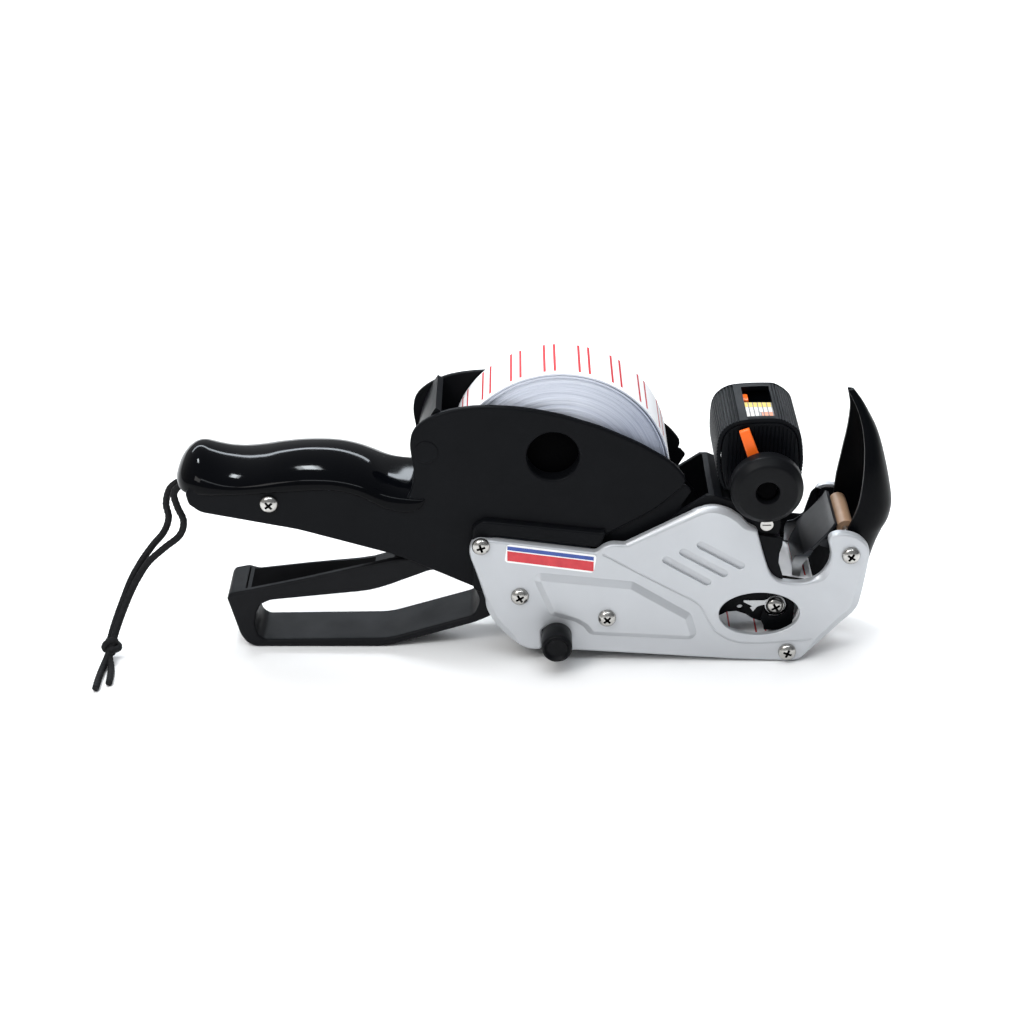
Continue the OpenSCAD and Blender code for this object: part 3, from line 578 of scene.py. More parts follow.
def area(name, loc, aim, size, power, colour=(1, 1, 1), size_y=None, spread=math.pi):
    d = bpy.data.lights.new(name, "AREA")
    d.energy = power
    d.color = colour
    d.size = size
    if size_y:
        d.shape = "RECTANGLE"
        d.size_y = size_y
    d.spread = spread
    o = bpy.data.objects.new(name, d)
    o.location = loc
    o.rotation_euler = (Vector(aim) - Vector(loc)).to_track_quat("-Z", "Y").to_euler()
    scene.collection.objects.link(o)
    return o


w = bpy.data.worlds.new("world")
scene.world = w
w.use_nodes = True
wt = w.node_tree
wsep = add(wt, "ShaderNodeSeparateXYZ")
wt.links.new(add(wt, "ShaderNodeTexCoord").outputs["Generated"], wsep.inputs[0])
side_to_side = remap(wt, wsep.outputs["X"], 0.0, 1.0, -1.0, 1.0)
wt.links.new(ramp(wt, side_to_side, [(0.0, (1.0, 0.995, 0.98)), (0.45, (0.86, 0.88, 0.91)), (1.0, (0.42, 0.44, 0.47))]),
             wt.nodes["Background"].inputs["Color"])
wt.nodes["Background"].inputs["Strength"].default_value = 0.44
area("top_soft", (-0.05, 0.20, 1.25), (0, 0.02, 0), 1.5, 14.0, size_y=1.2).visible_glossy = False
area("key_left", (-0.60, -0.70, 0.95), (-0.02, 0, 0.05), 0.50, 6.5, (1.0, 0.99, 0.975))
area("back_floor", (0.0, 1.75, 1.15), (0, 1.0, 0), 2.6, 16.0, size_y=0.7).visible_glossy = False
area("strip_back", (-0.20, 1.06, 0.63), (-0.085, 0, 0.07), 1.2, 5.0, (0.86, 0.93, 1.0), size_y=0.085)
area("pane_left", (-0.205, 0.40, 1.00), (-0.110, 0, 0.07), 0.13, 2.6, (0.90, 0.96, 1.0), size_y=0.15)
area("pane_mid", (-0.165, 0.40, 1.00), (-0.072, 0, 0.07), 0.11, 2.4, (0.90, 0.96, 1.0), size_y=0.15)
area("front_top", (0.10, -0.50, 0.95), (0.02, 0, 0.06), 0.7, 2.4, (0.90, 0.96, 1.0), size_y=0.10)

# ------------------------------------------------------------------ outlines in the x-z plane, in mm
COVER = [(-1.9, 5), (-4.3, 5.9), (-8.4, 8.7), (-13.1, 13.8), (-15.3, 17.3), (-17, 21.4), (-17.2, 24.6), (-20.1, 34.8),
         (-22.1, 40.8), (-22.8, 44), (-21.8, 47.2), (-19.6, 48.6), (-15.6, 48.2), (20.5, 43.4), (22.8, 45.5), (25.5, 46.7),
         (30.2, 46.4), (54.3, 59.5), (58, 60.8), (61.3, 60.7), (65.4, 59.3), (68.9, 56.8), (71.8, 53.5), (74.6, 52.2),
         (75.2, 50.4), (77, 43.9), (79.3, 36.9), (80.7, 34.3), (83.2, 32.3), (87.3, 31.6), (90.8, 31.4), (94.1, 32.2),
         (97.7, 34.5), (100, 38.8), (100.4, 43), (99.4, 46.3), (99, 48), (99.6, 49.8), (101.8, 50.8), (105, 50.8),
         (108.6, 49.8), (111.4, 47.7), (113.2, 45), (113.5, 42), (112.8, 34.1), (112, 27.4), (111.1, 21.9), (109.4, 19.2),
         (105.4, 15.1), (100.2, 9.1), (96.2, 5.1), (94.6, 3.8), (92.8, 1.6), (91, 0.5), (88, 0.3), (71.4, 0.9), (53.9, 2),
         (36.5, 3.2), (17.3, 4.4)]
COVER_R = [{6: 4, 13: 2.5, 16: 1.5, 23: 2.5, 24: 6, 47: 4, 51: 3, 52: 3}.get(i, 12) for i in range(len(COVER))]
UPPER = [(-117.5, 59.5), (-113.6, 56.4), (-80.8, 49.8), (-46.7, 39.6), (-21, 27.3), (-16, 26), (-16, 51), (21.8, 46.5),
         (40.2, 57.5), (51.3, 68.1), (46.4, 74.9), (34.5, 82.4), (21.1, 88.6), (7.8, 93), (-5.5, 95.6), (-19.3, 96.3),
         (-30.2, 94.5), (-36.9, 91.2), (-41.3, 87.2), (-42.4, 81.6), (-40.6, 70), (-43, 62.4), (-47, 60.2),
         (-57, 63.6), (-67, 66.6), (-80, 67.0), (-94, 65.8), (-106, 65.2), (-114, 66.0), (-117, 65.6), (-118.4, 63.6)]
UPPER_R = [3, 6, 60, 60, 6, 1, 1, 3, 30, 3.5, 30, 60, 60, 60, 60, 60, 30, 20, 14, 16, 16] + [20] * 10
STEP = [(-21.6, 27.3), (-16, 26), (-16, 49), (21.8, 44), (24, 50.5), (21.8, 50), (-17.6, 54.6), (-21.6, 52)]
PANEL = [(0.4, 35.9), (33.3, 32.3), (53.6, 19.6), (56.8, 9), (18.9, 11.1), (16.4, 14.6), (13.6, 16.4), (5, 19.2), (-0.6, 32.9)]
SLOTS = [((55.9, 46.4), (69.8, 38.4)), ((50.1, 43.6), (64.2, 35.3)), ((44.4, 40.6), (58.6, 32))]
S1, S2, S3, S4, S5 = (-18.6, 46.1), (-5.4, 26.5), (24.6, 18.9), (107, 42.6), (87.5, 4.4)
HB, RC, HD, FW, LB, AP = (5.6, 77.7), (8, 69.6), (76.5, 70.4), (83.4, 18.7), (7.3, 11.7), (106, 48)
OVAL = (77.1, 19.3)

# ------------------------------------------------------------------ grip
Z_BOT = [(-122.5, 65.4), (-121.8, 63.1), (-120.6, 62.2), (-118.5, 61.7), (-112, 61.8), (-105.8, 62.3), (-94, 62.9), (-80.3, 63.8),
         (-69.5, 64.2), (-64, 63.4), (-59.5, 61.9), (-55, 59.4), (-51, 57.4), (-46.4, 56.2), (-43.5, 55.9), (-41.2, 56.4),
         (-39.2, 57.8), (-38.0, 59.6), (-37.4, 61.6)]
Z_TOP = [(-122.5, 66.2), (-121.8, 68.2), (-120.6, 70.4), (-118.5, 72.8), (-116, 74.2), (-113.5, 74.2), (-110, 72.7), (-105, 71.0),
         (-100, 70.5), (-94, 71.2), (-88, 72.4), (-80.3, 73.3), (-73, 73.3), (-67, 72.7), (-61, 71.2), (-56, 69.2),
         (-51, 66.2), (-46.4, 64.4), (-43, 63.8), (-41.2, 63.6), (-39.2, 63.2), (-38.0, 62.8), (-37.4, 62.2)]
ROUND = [(-66, 1.85), (-56, 2.0), (-50, 2.6), (-45, 3.4), (-37.4, 3.6)]
WIDE = [(-122.5, 4.5), (-121.8, 8.0), (-120.6, 11.0), (-118.5, 13.6), (-115, 15.6), (-110, 16.4), (-46, 16.6), (-41.2, 16.6), (-39.2, 16.4),
        (-38.0, 16.1), (-37.4, 15.7)]
rings = []
xs = [-122.5, -122.2, -121.8, -121.2, -120.6, -119.6] + [-118.5 + 1.5 * k for k in range(52)] + [-40.6, -40, -39.4, -38.8, -38.3, -37.9, -37.6, -37.4]
for x in xs:
    zb, zt, wd = curve(Z_BOT, x), curve(Z_TOP, x), curve(WIDE, x)
    n_up = curve(ROUND, max(x, -66))
    zw = zb + 0.36 * (zt - zb)
    ring = []
    N = 56
    for k in range(N):
        a = 2 * math.pi * (k + 0.5) / N
        c, s = math.cos(a), math.sin(a)
        if s >= 0:
            y = wd * math.copysign(abs(c) ** (2 / n_up), c)
            z = zw + (zt - zw) * abs(s) ** (2 / n_up)
        else:
            y = wd * math.copysign(abs(c) ** (2 / 5.0), c)
            z = zw - (zw - zb) * abs(s) ** (2 / 4.6)
        ring.append((x, y, z))
    rings.append(ring)
grip = loft("grip_sleeve", rings, M["grip"])
sub = grip.modifiers.new("smooth", "SUBSURF")
sub.levels = sub.render_levels = 1
stand(grip, "body", "grip_gloss", "grip")

# ------------------------------------------------------------------ body plates
upper = fillet(ccw(UPPER), UPPER_R if area2(UPPER) > 0 else UPPER_R[::-1], 6)
step_line = fillet(ccw(STEP), 3.0, 10)
cover_line = fillet(ccw(COVER), COVER_R if area2(COVER) > 0 else COVER_R[::-1], 8)
lower = offset(cover_line, 1.5)
gap = fillet([(1.4, 3), (9.7, 3), (9.7, 13.2), (8.6, 14.3), (2.6, 14.3), (1.6, 13.2)], 0.6)


INNER = [(18, 40), (21, 48), (40, 57.8), (50, 67), (52.4, 64.2), (50.2, 60.4), (49.2, 58.6), (56, 50), (58, 45), (40, 40)]
WEB_FAR = [(75, 46), (80, 40), (95.2, 38.6), (96.2, 42.6), (97.6, 47.6), (99.4, 49.6), (101.8, 48.6), (102, 40), (98, 32.6), (90, 29.6),
           (82, 30.4), (76, 38)]
WEB_NEAR = [(72.4, 49.8), (84, 48), (83.8, 45), (83, 42), (82.9, 38.4), (84.5, 33.6), (85, 30), (79, 31), (74, 40)]


def body_plates(side, name, node):
    parts = [
        dict(outer=upper, holes=[circle(HB, 8.8, 64)], y0=side * 15.5, y1=side * 13.3, b0=0.85, b1=0.5, seg=4),
        dict(outer=step_line, holes=[], y0=side * 18.0, y1=side * 14.0, b0=0.9, b1=0, seg=3),
        dict(outer=lower, holes=[ellipse(OVAL, 15.2, 9.6)], y0=side * 18.0, y1=side * 16.8, b0=0.2, b1=0.2, seg=2),
        dict(outer=circle(HB, 10.0, 64), holes=[circle(HB, 8.8, 64)], y0=side * 8.5, y1=side * 14.0, b0=0.5, b1=0, seg=3),
        dict(outer=circle(HB, 9.3, 64), holes=[], y0=side * 9.7, y1=side * 8.7, b0=0, b1=0, seg=2),
        dict(outer=fillet(ccw(INNER), 1.0), holes=[], y0=side * 14.4, y1=side * 13.4, b0=0.15, b1=0.15, seg=2),
        dict(outer=fillet(ccw(WEB_FAR if side > 0 else WEB_NEAR), 1.2), holes=[], y0=side * 17.95, y1=side * 16.85, b0=0.3, b1=0.1, seg=3),
        dict(outer=circle((-36.8, 79.4), 4.1, 48), holes=[], y0=side * 15.82, y1=side * 15.0, b0=0.28, b1=0, seg=3),
    ]
    o = plate(name, parts, M["body"])
    stand(o, "body", "body_plastic", node)
    return o


# painted shade: near-black discs laid over the floors of the hub cups
for side, name in ((-1, "hub_floor_shade_near"), (1, "hub_floor_shade_far")):
    stand(plate(name, [dict(outer=circle(HB, 8.7, 64), holes=[], y0=side * 9.9, y1=side * 9.6, b0=0.05, b1=0, seg=1)], M["recess"]),
          "body", "body_plastic")
body_plates(-1, "body_plate_near", "frame_left")
body_plates(1, "body_plate_far", "frame_right")

# ------------------------------------------------------------------ silver side covers
NOTCH = [(9.6, 4.64), (9.6, 12.6), (8.4, 13.9), (3.4, 13.9), (2.2, 12.6), (2.2, 4.87)]
cov = fillet(COVER + NOTCH, COVER_R + [1.2, 1.2, 1.2, 1.2, 1.2, 1.2], 8)


def slot_line(a, b, r, n=8):
    a, b = Vector(a), Vector(b)
    u = (b - a).normalized()
    w = math.atan2(u.y, u.x)
    out = [(b.x + r * math.cos(w - math.pi / 2 + math.pi * k / n), b.y + r * math.sin(w - math.pi / 2 + math.pi * k / n)) for k in range(n + 1)]
    out += [(a.x + r * math.cos(w + math.pi / 2 + math.pi * k / n), a.y + r * math.sin(w + math.pi / 2 + math.pi * k / n)) for k in range(n + 1)]
    return out


def slot_depth(a, b, r):
    a, b = Vector(a), Vector(b)
    u = (b - a).normalized()
    nrm = Vector((u.y, -u.x)) if u.x > 0 else Vector((-u.y, u.x))  # towards the lower edge

    def f(x, z):
        t = ((Vector((x, z)) - a).dot(nrm) / r + 1) / 2
        return 0.06 + 0.86 * max(0, min(1, t))

    return f


def band_line(pts, w):
    """Closed thin outline along a polyline."""
    p = [Vector(q) for q in pts]
    left, right = [], []
    for i in range(len(p)):
        d = (p[min(i + 1, len(p) - 1)] - p[max(i - 1, 0)]).normalized()
        n = Vector((-d.y, d.x)) * w / 2
        left.append(tuple(p[i] + n))
        right.append(tuple(p[i] - n))
    return left + right[::-1]


def open_curve(pts, n=6):
    q = smooth_path([(a, b, 0) for a, b in pts], n)
    return [(v.x, v.y) for v in q]


CREASE = open_curve([(22.6, 43.0), (35.6, 35.3), (49.5, 27.4), (53, 25.5), (56.2, 23), (58.2, 19.6), (60.3, 15.5), (63.1, 11.8), (68, 8.8),
                     (74, 7.7), (81.4, 7.9), (91, 8.6), (96, 9.3)])
panel_line = fillet(ccw(PANEL), 3.0, 12)


def chamfer_weight(x, z):
    def ease(t):
        t = max(0.0, min(1.0, t))
        return t * t * (3 - 2 * t)
    front = ease((x - 93) / 5) * ease((44 - z) / 16) * ease((z - 3.5) / 4)
    rear = ease((-6.2 - x) / 3.0) * ease((30 - z) / 12) * 0.85 if x < 0 else 0
    slope = 0.55 * ease((x - 30.3) / 0.8) * ease((75 - x) / 5) if z > 45.5 else 0
    return max(front, rear, slope)


def side_cover(side, name, node):
    grooves = [(slot_line(a, b, 1.45), [(0, 0), (0.12, 0.10), (0.22, slot_depth(a, b, 1.45))]) for a, b in SLOTS]
    grooves.append((panel_line, [(0, 0), (0.10, -0.06), (2.0, -1.40), (2.3, -1.54), (2.7, -1.6)]))
    grooves.append((band_line(CREASE, 0.9), [(0, 0), (0.14, 0.07), (0.40, 0.20)]))
    o = plate(name, [dict(outer=cov, holes=[ellipse(OVAL, 13.9, 8.4, 72)], y0=side * 20.0, y1=side * 16.85, b0=1.0, b1=0.25,
                          seg=8, tray=(1.15, side * 18.25), hole_b=0.45, grooves=grooves, cham=chamfer_weight)], M["silver"], 15)
    stand(o, "body", "silver_paint", node)
    return o


side_cover(-1, "side_cover_near", "side_cover_left")
side_cover(1, "side_cover_far", "side_cover_right")

# ------------------------------------------------------------------ screws
def screw_mesh(r):
    """Pan head with a cross recess, its seat at z = 0."""
    prof = [(0.0, -0.2), (r * 0.97, -0.2), (r, 0.0), (r, r * 0.17), (r * 0.985, r * 0.23), (r * 0.93, r * 0.34), (r * 0.82, r * 0.455),
            (r * 0.66, r * 0.56), (r * 0.46, r * 0.625), (r * 0.24, r * 0.655), (0.0, r * 0.665)]
    head = obj_from("screw_head", *lathe_data(prof, 56), M["nickel"])
    cutters = []
    for a in (0, 90):
        w, l, d = r * 0.135, r * 0.60, r * 0.44
        top = r * 0.9
        bot = r * 0.665 - d
        vs, R = [], Matrix.Rotation(math.radians(a), 3, "Z")
        for z, ww, ll in ((bot, w * 0.55, l * 0.42), (top, w * 1.25, l * 1.12)):
            for sx, sy in ((-1, -1), (1, -1), (1, 1), (-1, 1)):
                vs.append(tuple(R @ Vector((sx * ll, sy * ww, z))))
        cutters.append(obj_from("cut%d" % a, vs, [(3, 2, 1, 0), (4, 5, 6, 7), (0, 1, 5, 4), (1, 2, 6, 5), (2, 3, 7, 6), (3, 0, 4, 7)],
                                M["recess"], smooth=False))
    boolean(head, cutters)
    v = [tuple(c / K for c in q.co) for q in head.data.vertices]
    f = [tuple(p.vertices) for p in head.data.polygons]
    # painted shade: the faces of the cross recess get the near-black shade material
    dark = [p.index for p in head.data.polygons
            if all(math.hypot(v[i][0], v[i][1]) < r * 0.70 for i in p.vertices) and min(v[i][2] for i in p.vertices) < r * 0.5]
    me = head.data
    bpy.data.objects.remove(head)
    bpy.data.meshes.remove(me)
    return v, f, dark


def screw_set(name, r, spots, body, slot_name, node):
    v, f, dark = screw_mesh(r)
    verts, faces, recess_shade_faces = [], [], []
    for c, side, turn in spots:
        n = len(verts)
        R = Matrix.Rotation(math.radians(turn), 3, "Z")
        verts += place([tuple(R @ Vector(q)) for q in v], c, side)
        recess_shade_faces += [len(faces) + i for i in dark]
        faces += [tuple(i + n for i in q) for q in f]
    o = obj_from(name, verts, faces, M["nickel"])
    # second material: near-black painted shade for the cross recesses
    o.data.materials.append(M["recess"])
    for i in recess_shade_faces:
        o.data.polygons[i].material_index = 1
    stand(o, body, slot_name, node)
    return o


spots = []
for k, p in enumerate((S1, S2, S3, S4, S5)):
    lift = 1.6 if p == S3 else 0.0
    for side in (-1, 1):
        spots.append(((p[0], side * (20 + lift), p[1]), side, 18 + 13 * k))
screw_set("cover_screw_heads", 3.12, spots, "body", "nickel", "cover_screws")
screw_set("handle_screw_heads", 3.2, [((-90.2, -15.5, 60.1), -1, 40), ((-90.2, 15.5, 60.1), 1, 12)], "body", "nickel", "handle_screws")
screw_set("feed_screw_heads", 3.3, [((FW[0], -12.5, FW[1]), -1, 30), ((FW[0], 11.9, FW[1]), 1, 12)], "body", "nickel", "feed_screws")

# ------------------------------------------------------------------ squeeze lever
LOOP = [(-107.5, 19.5), (-106.5, 21.5), (-99, 23), (-80.6, 27.2), (-45, 36.1), (-20, 35.5), (-8, 33), (-2, 30), (-1, 24),
        (-4, 21), (-12, 14.5), (-20, 10.2), (-51, 0.4), (-55, 0), (-98.4, 0), (-101.5, 1.4), (-103.6, 5)]
LOOP_R = [1.5, 3, 30, 60, 40, 20, 6, 4, 4, 6, 14, 30, 20, 20, 5, 6, 10]
HOLE = [(-97.6, 13.6), (-96, 17), (-92.5, 18.8), (-56, 22.8), (-36, 31), (-30, 31), (-22, 26), (-19, 18.5), (-21.4, 12.8),
        (-51.5, 3.4), (-95, 2.8), (-97.4, 4.6), (-98.4, 9)]
HOLE_R = [6, 3, 6, 40, 12, 5, 12, 6, 4, 24, 3, 3, 6]
WEB = [(-107.5, 19.5), (-106.5, 21.5), (-101.4, 22.5), (-97.8, 21.4), (-80, 23.6), (-57, 26), (-36, 33.6), (-22, 32), (-15, 28),
       (-13.6, 34.17), (-8, 33), (-2, 30), (-1, 24), (-4, 21), (-12, 14.5), (-20, 10.2), (-51, 0.4), (-55, 0), (-98.4, 0),
       (-101.5, 1.4), (-103.6, 5)]
WEB_R = [1.5, 3, 1.2, 3, 40, 40, 10, 8, 4, 0, 6, 4, 4, 6, 14, 30, 20, 20, 5, 6, 10]
ARM = [(-9, 29.6), (-2, 32.2), (24.6, 33), (40, 28.6), (57, 21.6), (57, 13.4), (53, 13.8), (42, 22.4), (34, 26.4), (24.6, 27.6),
       (6, 24.4), (-3, 22)]


def flip(pts, rad, fn):
    """Radii in the order that fn leaves the corners in."""
    keep = area2(pts) > 0
    return fn(pts), (rad if keep else rad[::-1])


loop = fillet(*flip(LOOP, LOOP_R, ccw), 5)
hole = fillet(*flip(HOLE, HOLE_R, ccw), 8)
web = fillet(*flip(WEB, WEB_R, ccw), 8)
parts = []
for s in (-1, 1):
    parts.append(dict(outer=loop if s < 0 else web, holes=[hole], y0=s * 10, y1=s * 7.8, b0=1.0, b1=0, seg=4))
    parts.append(dict(outer=circle(S2, 5, 48), holes=[circle(S2, 2.55, 32)], y0=s * 14.6, y1=s * 7.4, b0=0.3, b1=0, seg=2))
    parts.append(dict(outer=fillet(ccw(ARM), 3.0, 10), holes=[slot_line((54.5, 17.95), (56.7, 17.65), 1.56)], y0=s * 14.6, y1=s * 13,
                      b0=0.3, b1=0.3, seg=2))
parts.append(dict(outer=web, holes=[hole], y0=-7.8, y1=7.8, b0=0, b1=0, seg=2))
lever = plate("lever_loop", parts, M["lever"])
# painted shade: a thin near-black band along the floor of the lever's channel
floor_line = [(v.x, v.y) for v in resample(smooth_path([(a, b + 0.12, 0) for a, b in ((-101.0, 22.4), (-97.8, 21.6), (-80, 23.7), (-57, 26.1),
                                                                                     (-46, 29.9), (-36, 33.6), (-30, 33.0))], 8), 0.8)[0]]
stand(plate("lever_channel_shade", [dict(outer=ccw(band_line(floor_line, 0.3)), holes=[], y0=-7.75, y1=7.75, b0=0, b1=0, seg=1)], M["recess"]),
      "lever", "body_plastic")
stand(lever, "lever", "body_plastic", "lever")

# ------------------------------------------------------------------ paper
def polar(t, cx, cz):
    """Radius in mm and angle in turns of a point about an axis along Y."""
    sep = add(t, "ShaderNodeSeparateXYZ")
    t.links.new(coords(t), sep.inputs[0])
    dx = math_(t, "SUBTRACT", sep.outputs["X"], cx * K)
    dz = math_(t, "SUBTRACT", sep.outputs["Z"], cz * K)
    r2 = math_(t, "ADD", math_(t, "MULTIPLY", dx, dx), math_(t, "MULTIPLY", dz, dz))
    r = math_(t, "MULTIPLY", math_(t, "SQRT", r2), 1000.0)
    turn = math_(t, "DIVIDE", math_(t, "ARCTAN2", dz, dx), 2 * math.pi)
    return r, turn, sep.outputs["Y"]


def line_pair(t, saw, half, width):
    """1 on two lines at +-half about the middle of a sawtooth that runs from 0 to 1."""
    d = math_(t, "ABSOLUTE", math_(t, "SUBTRACT", saw, 0.5))
    return math_(t, "LESS_THAN", math_(t, "ABSOLUTE", math_(t, "SUBTRACT", d, half)), width)


def window(t, v, lo, hi):
    return math_(t, "MULTIPLY", math_(t, "GREATER_THAN", v, lo), math_(t, "LESS_THAN", v, hi))


def paper_roll():
    m, t, b = new_mat("paper_roll")
    r, turn, y = polar(t, *RC)
    comb = add(t, "ShaderNodeCombineXYZ")
    t.links.new(math_(t, "ADD", math_(t, "MULTIPLY", r, 4.6), math_(t, "MULTIPLY", turn, 1.6)), comb.inputs["X"])
    t.links.new(math_(t, "MULTIPLY", turn, 3.0), comb.inputs["Y"])
    wraps = noise(t, 1.0, 6.0, 0.7, comb.outputs[0])
    side = ramp(t, wraps, [(0.30, (0.36, 0.39, 0.47)), (0.48, (0.58, 0.61, 0.69)), (0.70, (0.72, 0.74, 0.80))])
    # painted shade: the side of the roll darkens towards its right and its lower half, multiplied into the ring pattern
    painted_shade_low_right = ramp(t, turn, [(0.0, (0.50, 0.52, 0.57)), (0.10, (0.56, 0.58, 0.63)), (0.21, (1, 1, 1)), (1.0, (1, 1, 1))])
    shade = add(t, "ShaderNodeMix", data_type="RGBA", blend_type="MULTIPLY")
    shade.inputs[0].default_value = 1.0
    t.links.new(side, shade.inputs[6])
    t.links.new(painted_shade_low_right, shade.inputs[7])
    side = shade.outputs[2]
    face = ramp(t, noise(t, 160, 3.0), [(0.3, (0.76, 0.765, 0.79)), (0.7, (0.81, 0.812, 0.83))])
    saw = math_(t, "FRACT", math_(t, "ADD", math_(t, "MULTIPLY", turn, 20.0), 20.189))
    red = math_(t, "MULTIPLY", line_pair(t, saw, 0.147, 0.037), window(t, y, -10.2 * K, 11.8 * K))
    face = mixc(t, red, face, (0.45, 0.022, 0.030))
    on_rim = math_(t, "GREATER_THAN", r, 36.98)
    t.links.new(mixc(t, on_rim, side, face), b.inputs["Base Color"])
    b.inputs["Roughness"].default_value = 0.62
    b.inputs["Specular IOR Level"].default_value = 0.3
    bump(t, b, wraps, 0.35, 0.0002)
    return m


def paper_strip():
    m, t, b = new_mat("paper_strip")
    sep = add(t, "ShaderNodeSeparateXYZ")
    t.links.new(coords(t), sep.inputs[0])
    base = ramp(t, noise(t, 220, 3.0), [(0.3, (0.76, 0.77, 0.79)), (0.7, (0.82, 0.82, 0.84))])
    saw = math_(t, "FRACT", math_(t, "ADD", math_(t, "MULTIPLY", sep.outputs["X"], 1000.0 / 12.4), 20.1))
    red = math_(t, "MULTIPLY", line_pair(t, saw, 0.133, 0.026), window(t, sep.outputs["Y"], -10.2 * K, 11.8 * K))
    t.links.new(mixc(t, red, base, (0.47, 0.035, 0.045)), b.inputs["Base Color"])
    b.inputs["Roughness"].default_value = 0.55
    bump(t, b, noise(t, 900, 2.0), 0.1, 0.0001)
    return m


M["roll"] = paper_roll()
M["strip"] = paper_strip()
wrap_rng = random.Random(11)
ends = {}
for s in (-1, 1):
    prof, r, y = [], 20.7, 12.2
    while r < 35.3:
        prof.append((r, y))
        r += wrap_rng.uniform(0.18, 0.52)
        prof.append((r, y))
        y = min(12.5, max(11.75, y + wrap_rng.uniform(-0.17, 0.17)))
        r += 0.02
    ends[s] = prof
gap_rings = [(35.36, 12.35), (35.42, 10.6), (35.56, 10.6), (35.60, 12.42), (36.32, 12.46), (36.38, 10.9), (36.48, 10.9), (36.52, 12.44),
             (37.11, 12.44), (37.19, 12.36)]
prof = [(r, -y) for r, y in ends[-1]] + [(r, -y) for r, y in gap_rings] + [(r, y) for r, y in gap_rings[::-1]] \
    + [(r, y) for r, y in ends[1][::-1]]
prof.append(prof[0])
v, f = lathe_data(prof, 180)
out = []
for x, z, y in v:
    r = math.hypot(x, z)
    a = math.atan2(z, x)
    pull = 0.5 + 0.5 * math.cos(a - math.radians(-12))
    if 35.32 < r < 35.45:
        r -= 0.42 * pull**2
    elif 36.30 < r < 36.40:
        r -= 0.34 * pull**2
    out.append((RC[0] + r * math.cos(a), y, RC[1] + r * math.sin(a)))
roll = obj_from("label_roll_wound", out, f, M["roll"])
stand(roll, "roll", "paper", "label_roll")

# ------------------------------------------------------------------ blank sticker
m, t, b = new_mat("sticker_print")
sep = add(t, "ShaderNodeSeparateXYZ")
t.links.new(coords(t), sep.inputs[0])
tilt = math.tan(math.radians(8.0))
up = math_(t, "ADD", math_(t, "SUBTRACT", sep.outputs["Z"], 41.3 * K),
           math_(t, "MULTIPLY", math_(t, "SUBTRACT", sep.outputs["X"], 5.0 * K), tilt))
along = math_(t, "SUBTRACT", sep.outputs["X"], 5.0 * K)
n1 = noise(t, 300, 2.0)
white = ramp(t, n1, [(0.3, (0.80, 0.80, 0.81)), (0.7, (0.86, 0.86, 0.86))])
red = ramp(t, n1, [(0.3, (0.50, 0.018, 0.030)), (0.7, (0.60, 0.030, 0.040))])
blue = ramp(t, n1, [(0.3, (0.020, 0.055, 0.27)), (0.7, (0.035, 0.080, 0.33))])
inside = window(t, along, -14.7 * K, 14.7 * K)
c = mixc(t, math_(t, "MULTIPLY", inside, window(t, up, -2.85 * K, 0.95 * K)), white, red)
c = mixc(t, math_(t, "MULTIPLY", inside, window(t, up, 1.35 * K, 2.85 * K)), c, blue)
t.links.new(c, b.inputs["Base Color"])
b.inputs["Roughness"].default_value = 0.28
bump(t, b, noise(t, 500, 2.0), 0.05, 0.0001)
M["sticker"] = m
rect = []
R2 = Matrix.Rotation(math.radians(-8.0), 2)
for q in fillet([(-15.4, -3.5), (15.4, -3.5), (15.4, 3.5), (-15.4, 3.5)], 1.2, 15):
    w2 = R2 @ Vector(q)
    rect.append((5.0 + w2.x, 41.3 + w2.y))
stand(plate("sticker_blank", [dict(outer=rect, holes=[], y0=-20.2, y1=-19.98, b0=0.06, b1=0, seg=2)], M["sticker"]),
      "body", "label_print", "sticker")

# ------------------------------------------------------------------ turned pieces
def turned(name, items, mat, seg=72):
    groups = []
    for prof, c, s in items:
        v, f = lathe_data(prof, seg)
        groups.append((place(v, c, s), f))
    return join_data(name, groups, mat)


kn = [(0, 8.6), (3.0, 8.62), (3.5, 8.75), (3.9, 9.2), (4.2, 9.72), (4.5, 9.94), (4.75, 9.86), (5.0, 9.6), (5.2, 9.15), (5.3, 8.5), (5.3, 0.6),
      (5.1, 0.25), (4.9, 0.0), (0, 0.0)]
stand(turned("latch_knob_pair", [(kn, (LB[0], -21.05, LB[1]), -1), (kn, (LB[0], 21.05, LB[1]), 1)], M["knob"], 56),
      "latch", "knob_plastic", "latch_knobs")
sk = [(0, 0.05), (11.6, 0.05), (12.0, 0.2), (12.18, 0.6), (12.2, 1.0), (12.2, 3.9), (12.14, 4.4), (11.94, 4.85), (11.68, 5.18), (10.25, 6.56),
      (10.05, 6.76), (9.8, 6.9), (9.5, 6.97), (9.2, 7.0), (4.35, 7.0), (4.12, 6.93), (4.0, 6.7), (4.0, 1.5), (0, 1.5)]
stand(turned("selector_dial", [(sk, (HD[0], -21.0, HD[1]), -1)], M["knob"], 112), "knob", "knob_plastic", "selector_knob")

# ------------------------------------------------------------------ pointer
def boxed(name, stations, mat, width=0.28):
    """Bar through stations of (x, z, half width, angle in degrees, y front, y back)."""
    rings = []
    for x, z, h, ang, y0, y1 in stations:
        c, s = math.cos(math.radians(ang)), math.sin(math.radians(ang))
        rings.append([(x - h * c, y0, z - h * s), (x + h * c, y0, z + h * s), (x + h * c, y1, z + h * s), (x - h * c, y1, z - h * s)])
    o = loft(name, rings, mat, smooth=True)
    bv = o.modifiers.new("edge", "BEVEL")
    bv.width = width * K
    bv.segments = 2
    bv.limit_method = "ANGLE"
    bv.angle_limit = math.radians(30)
    return flat_normals(o)


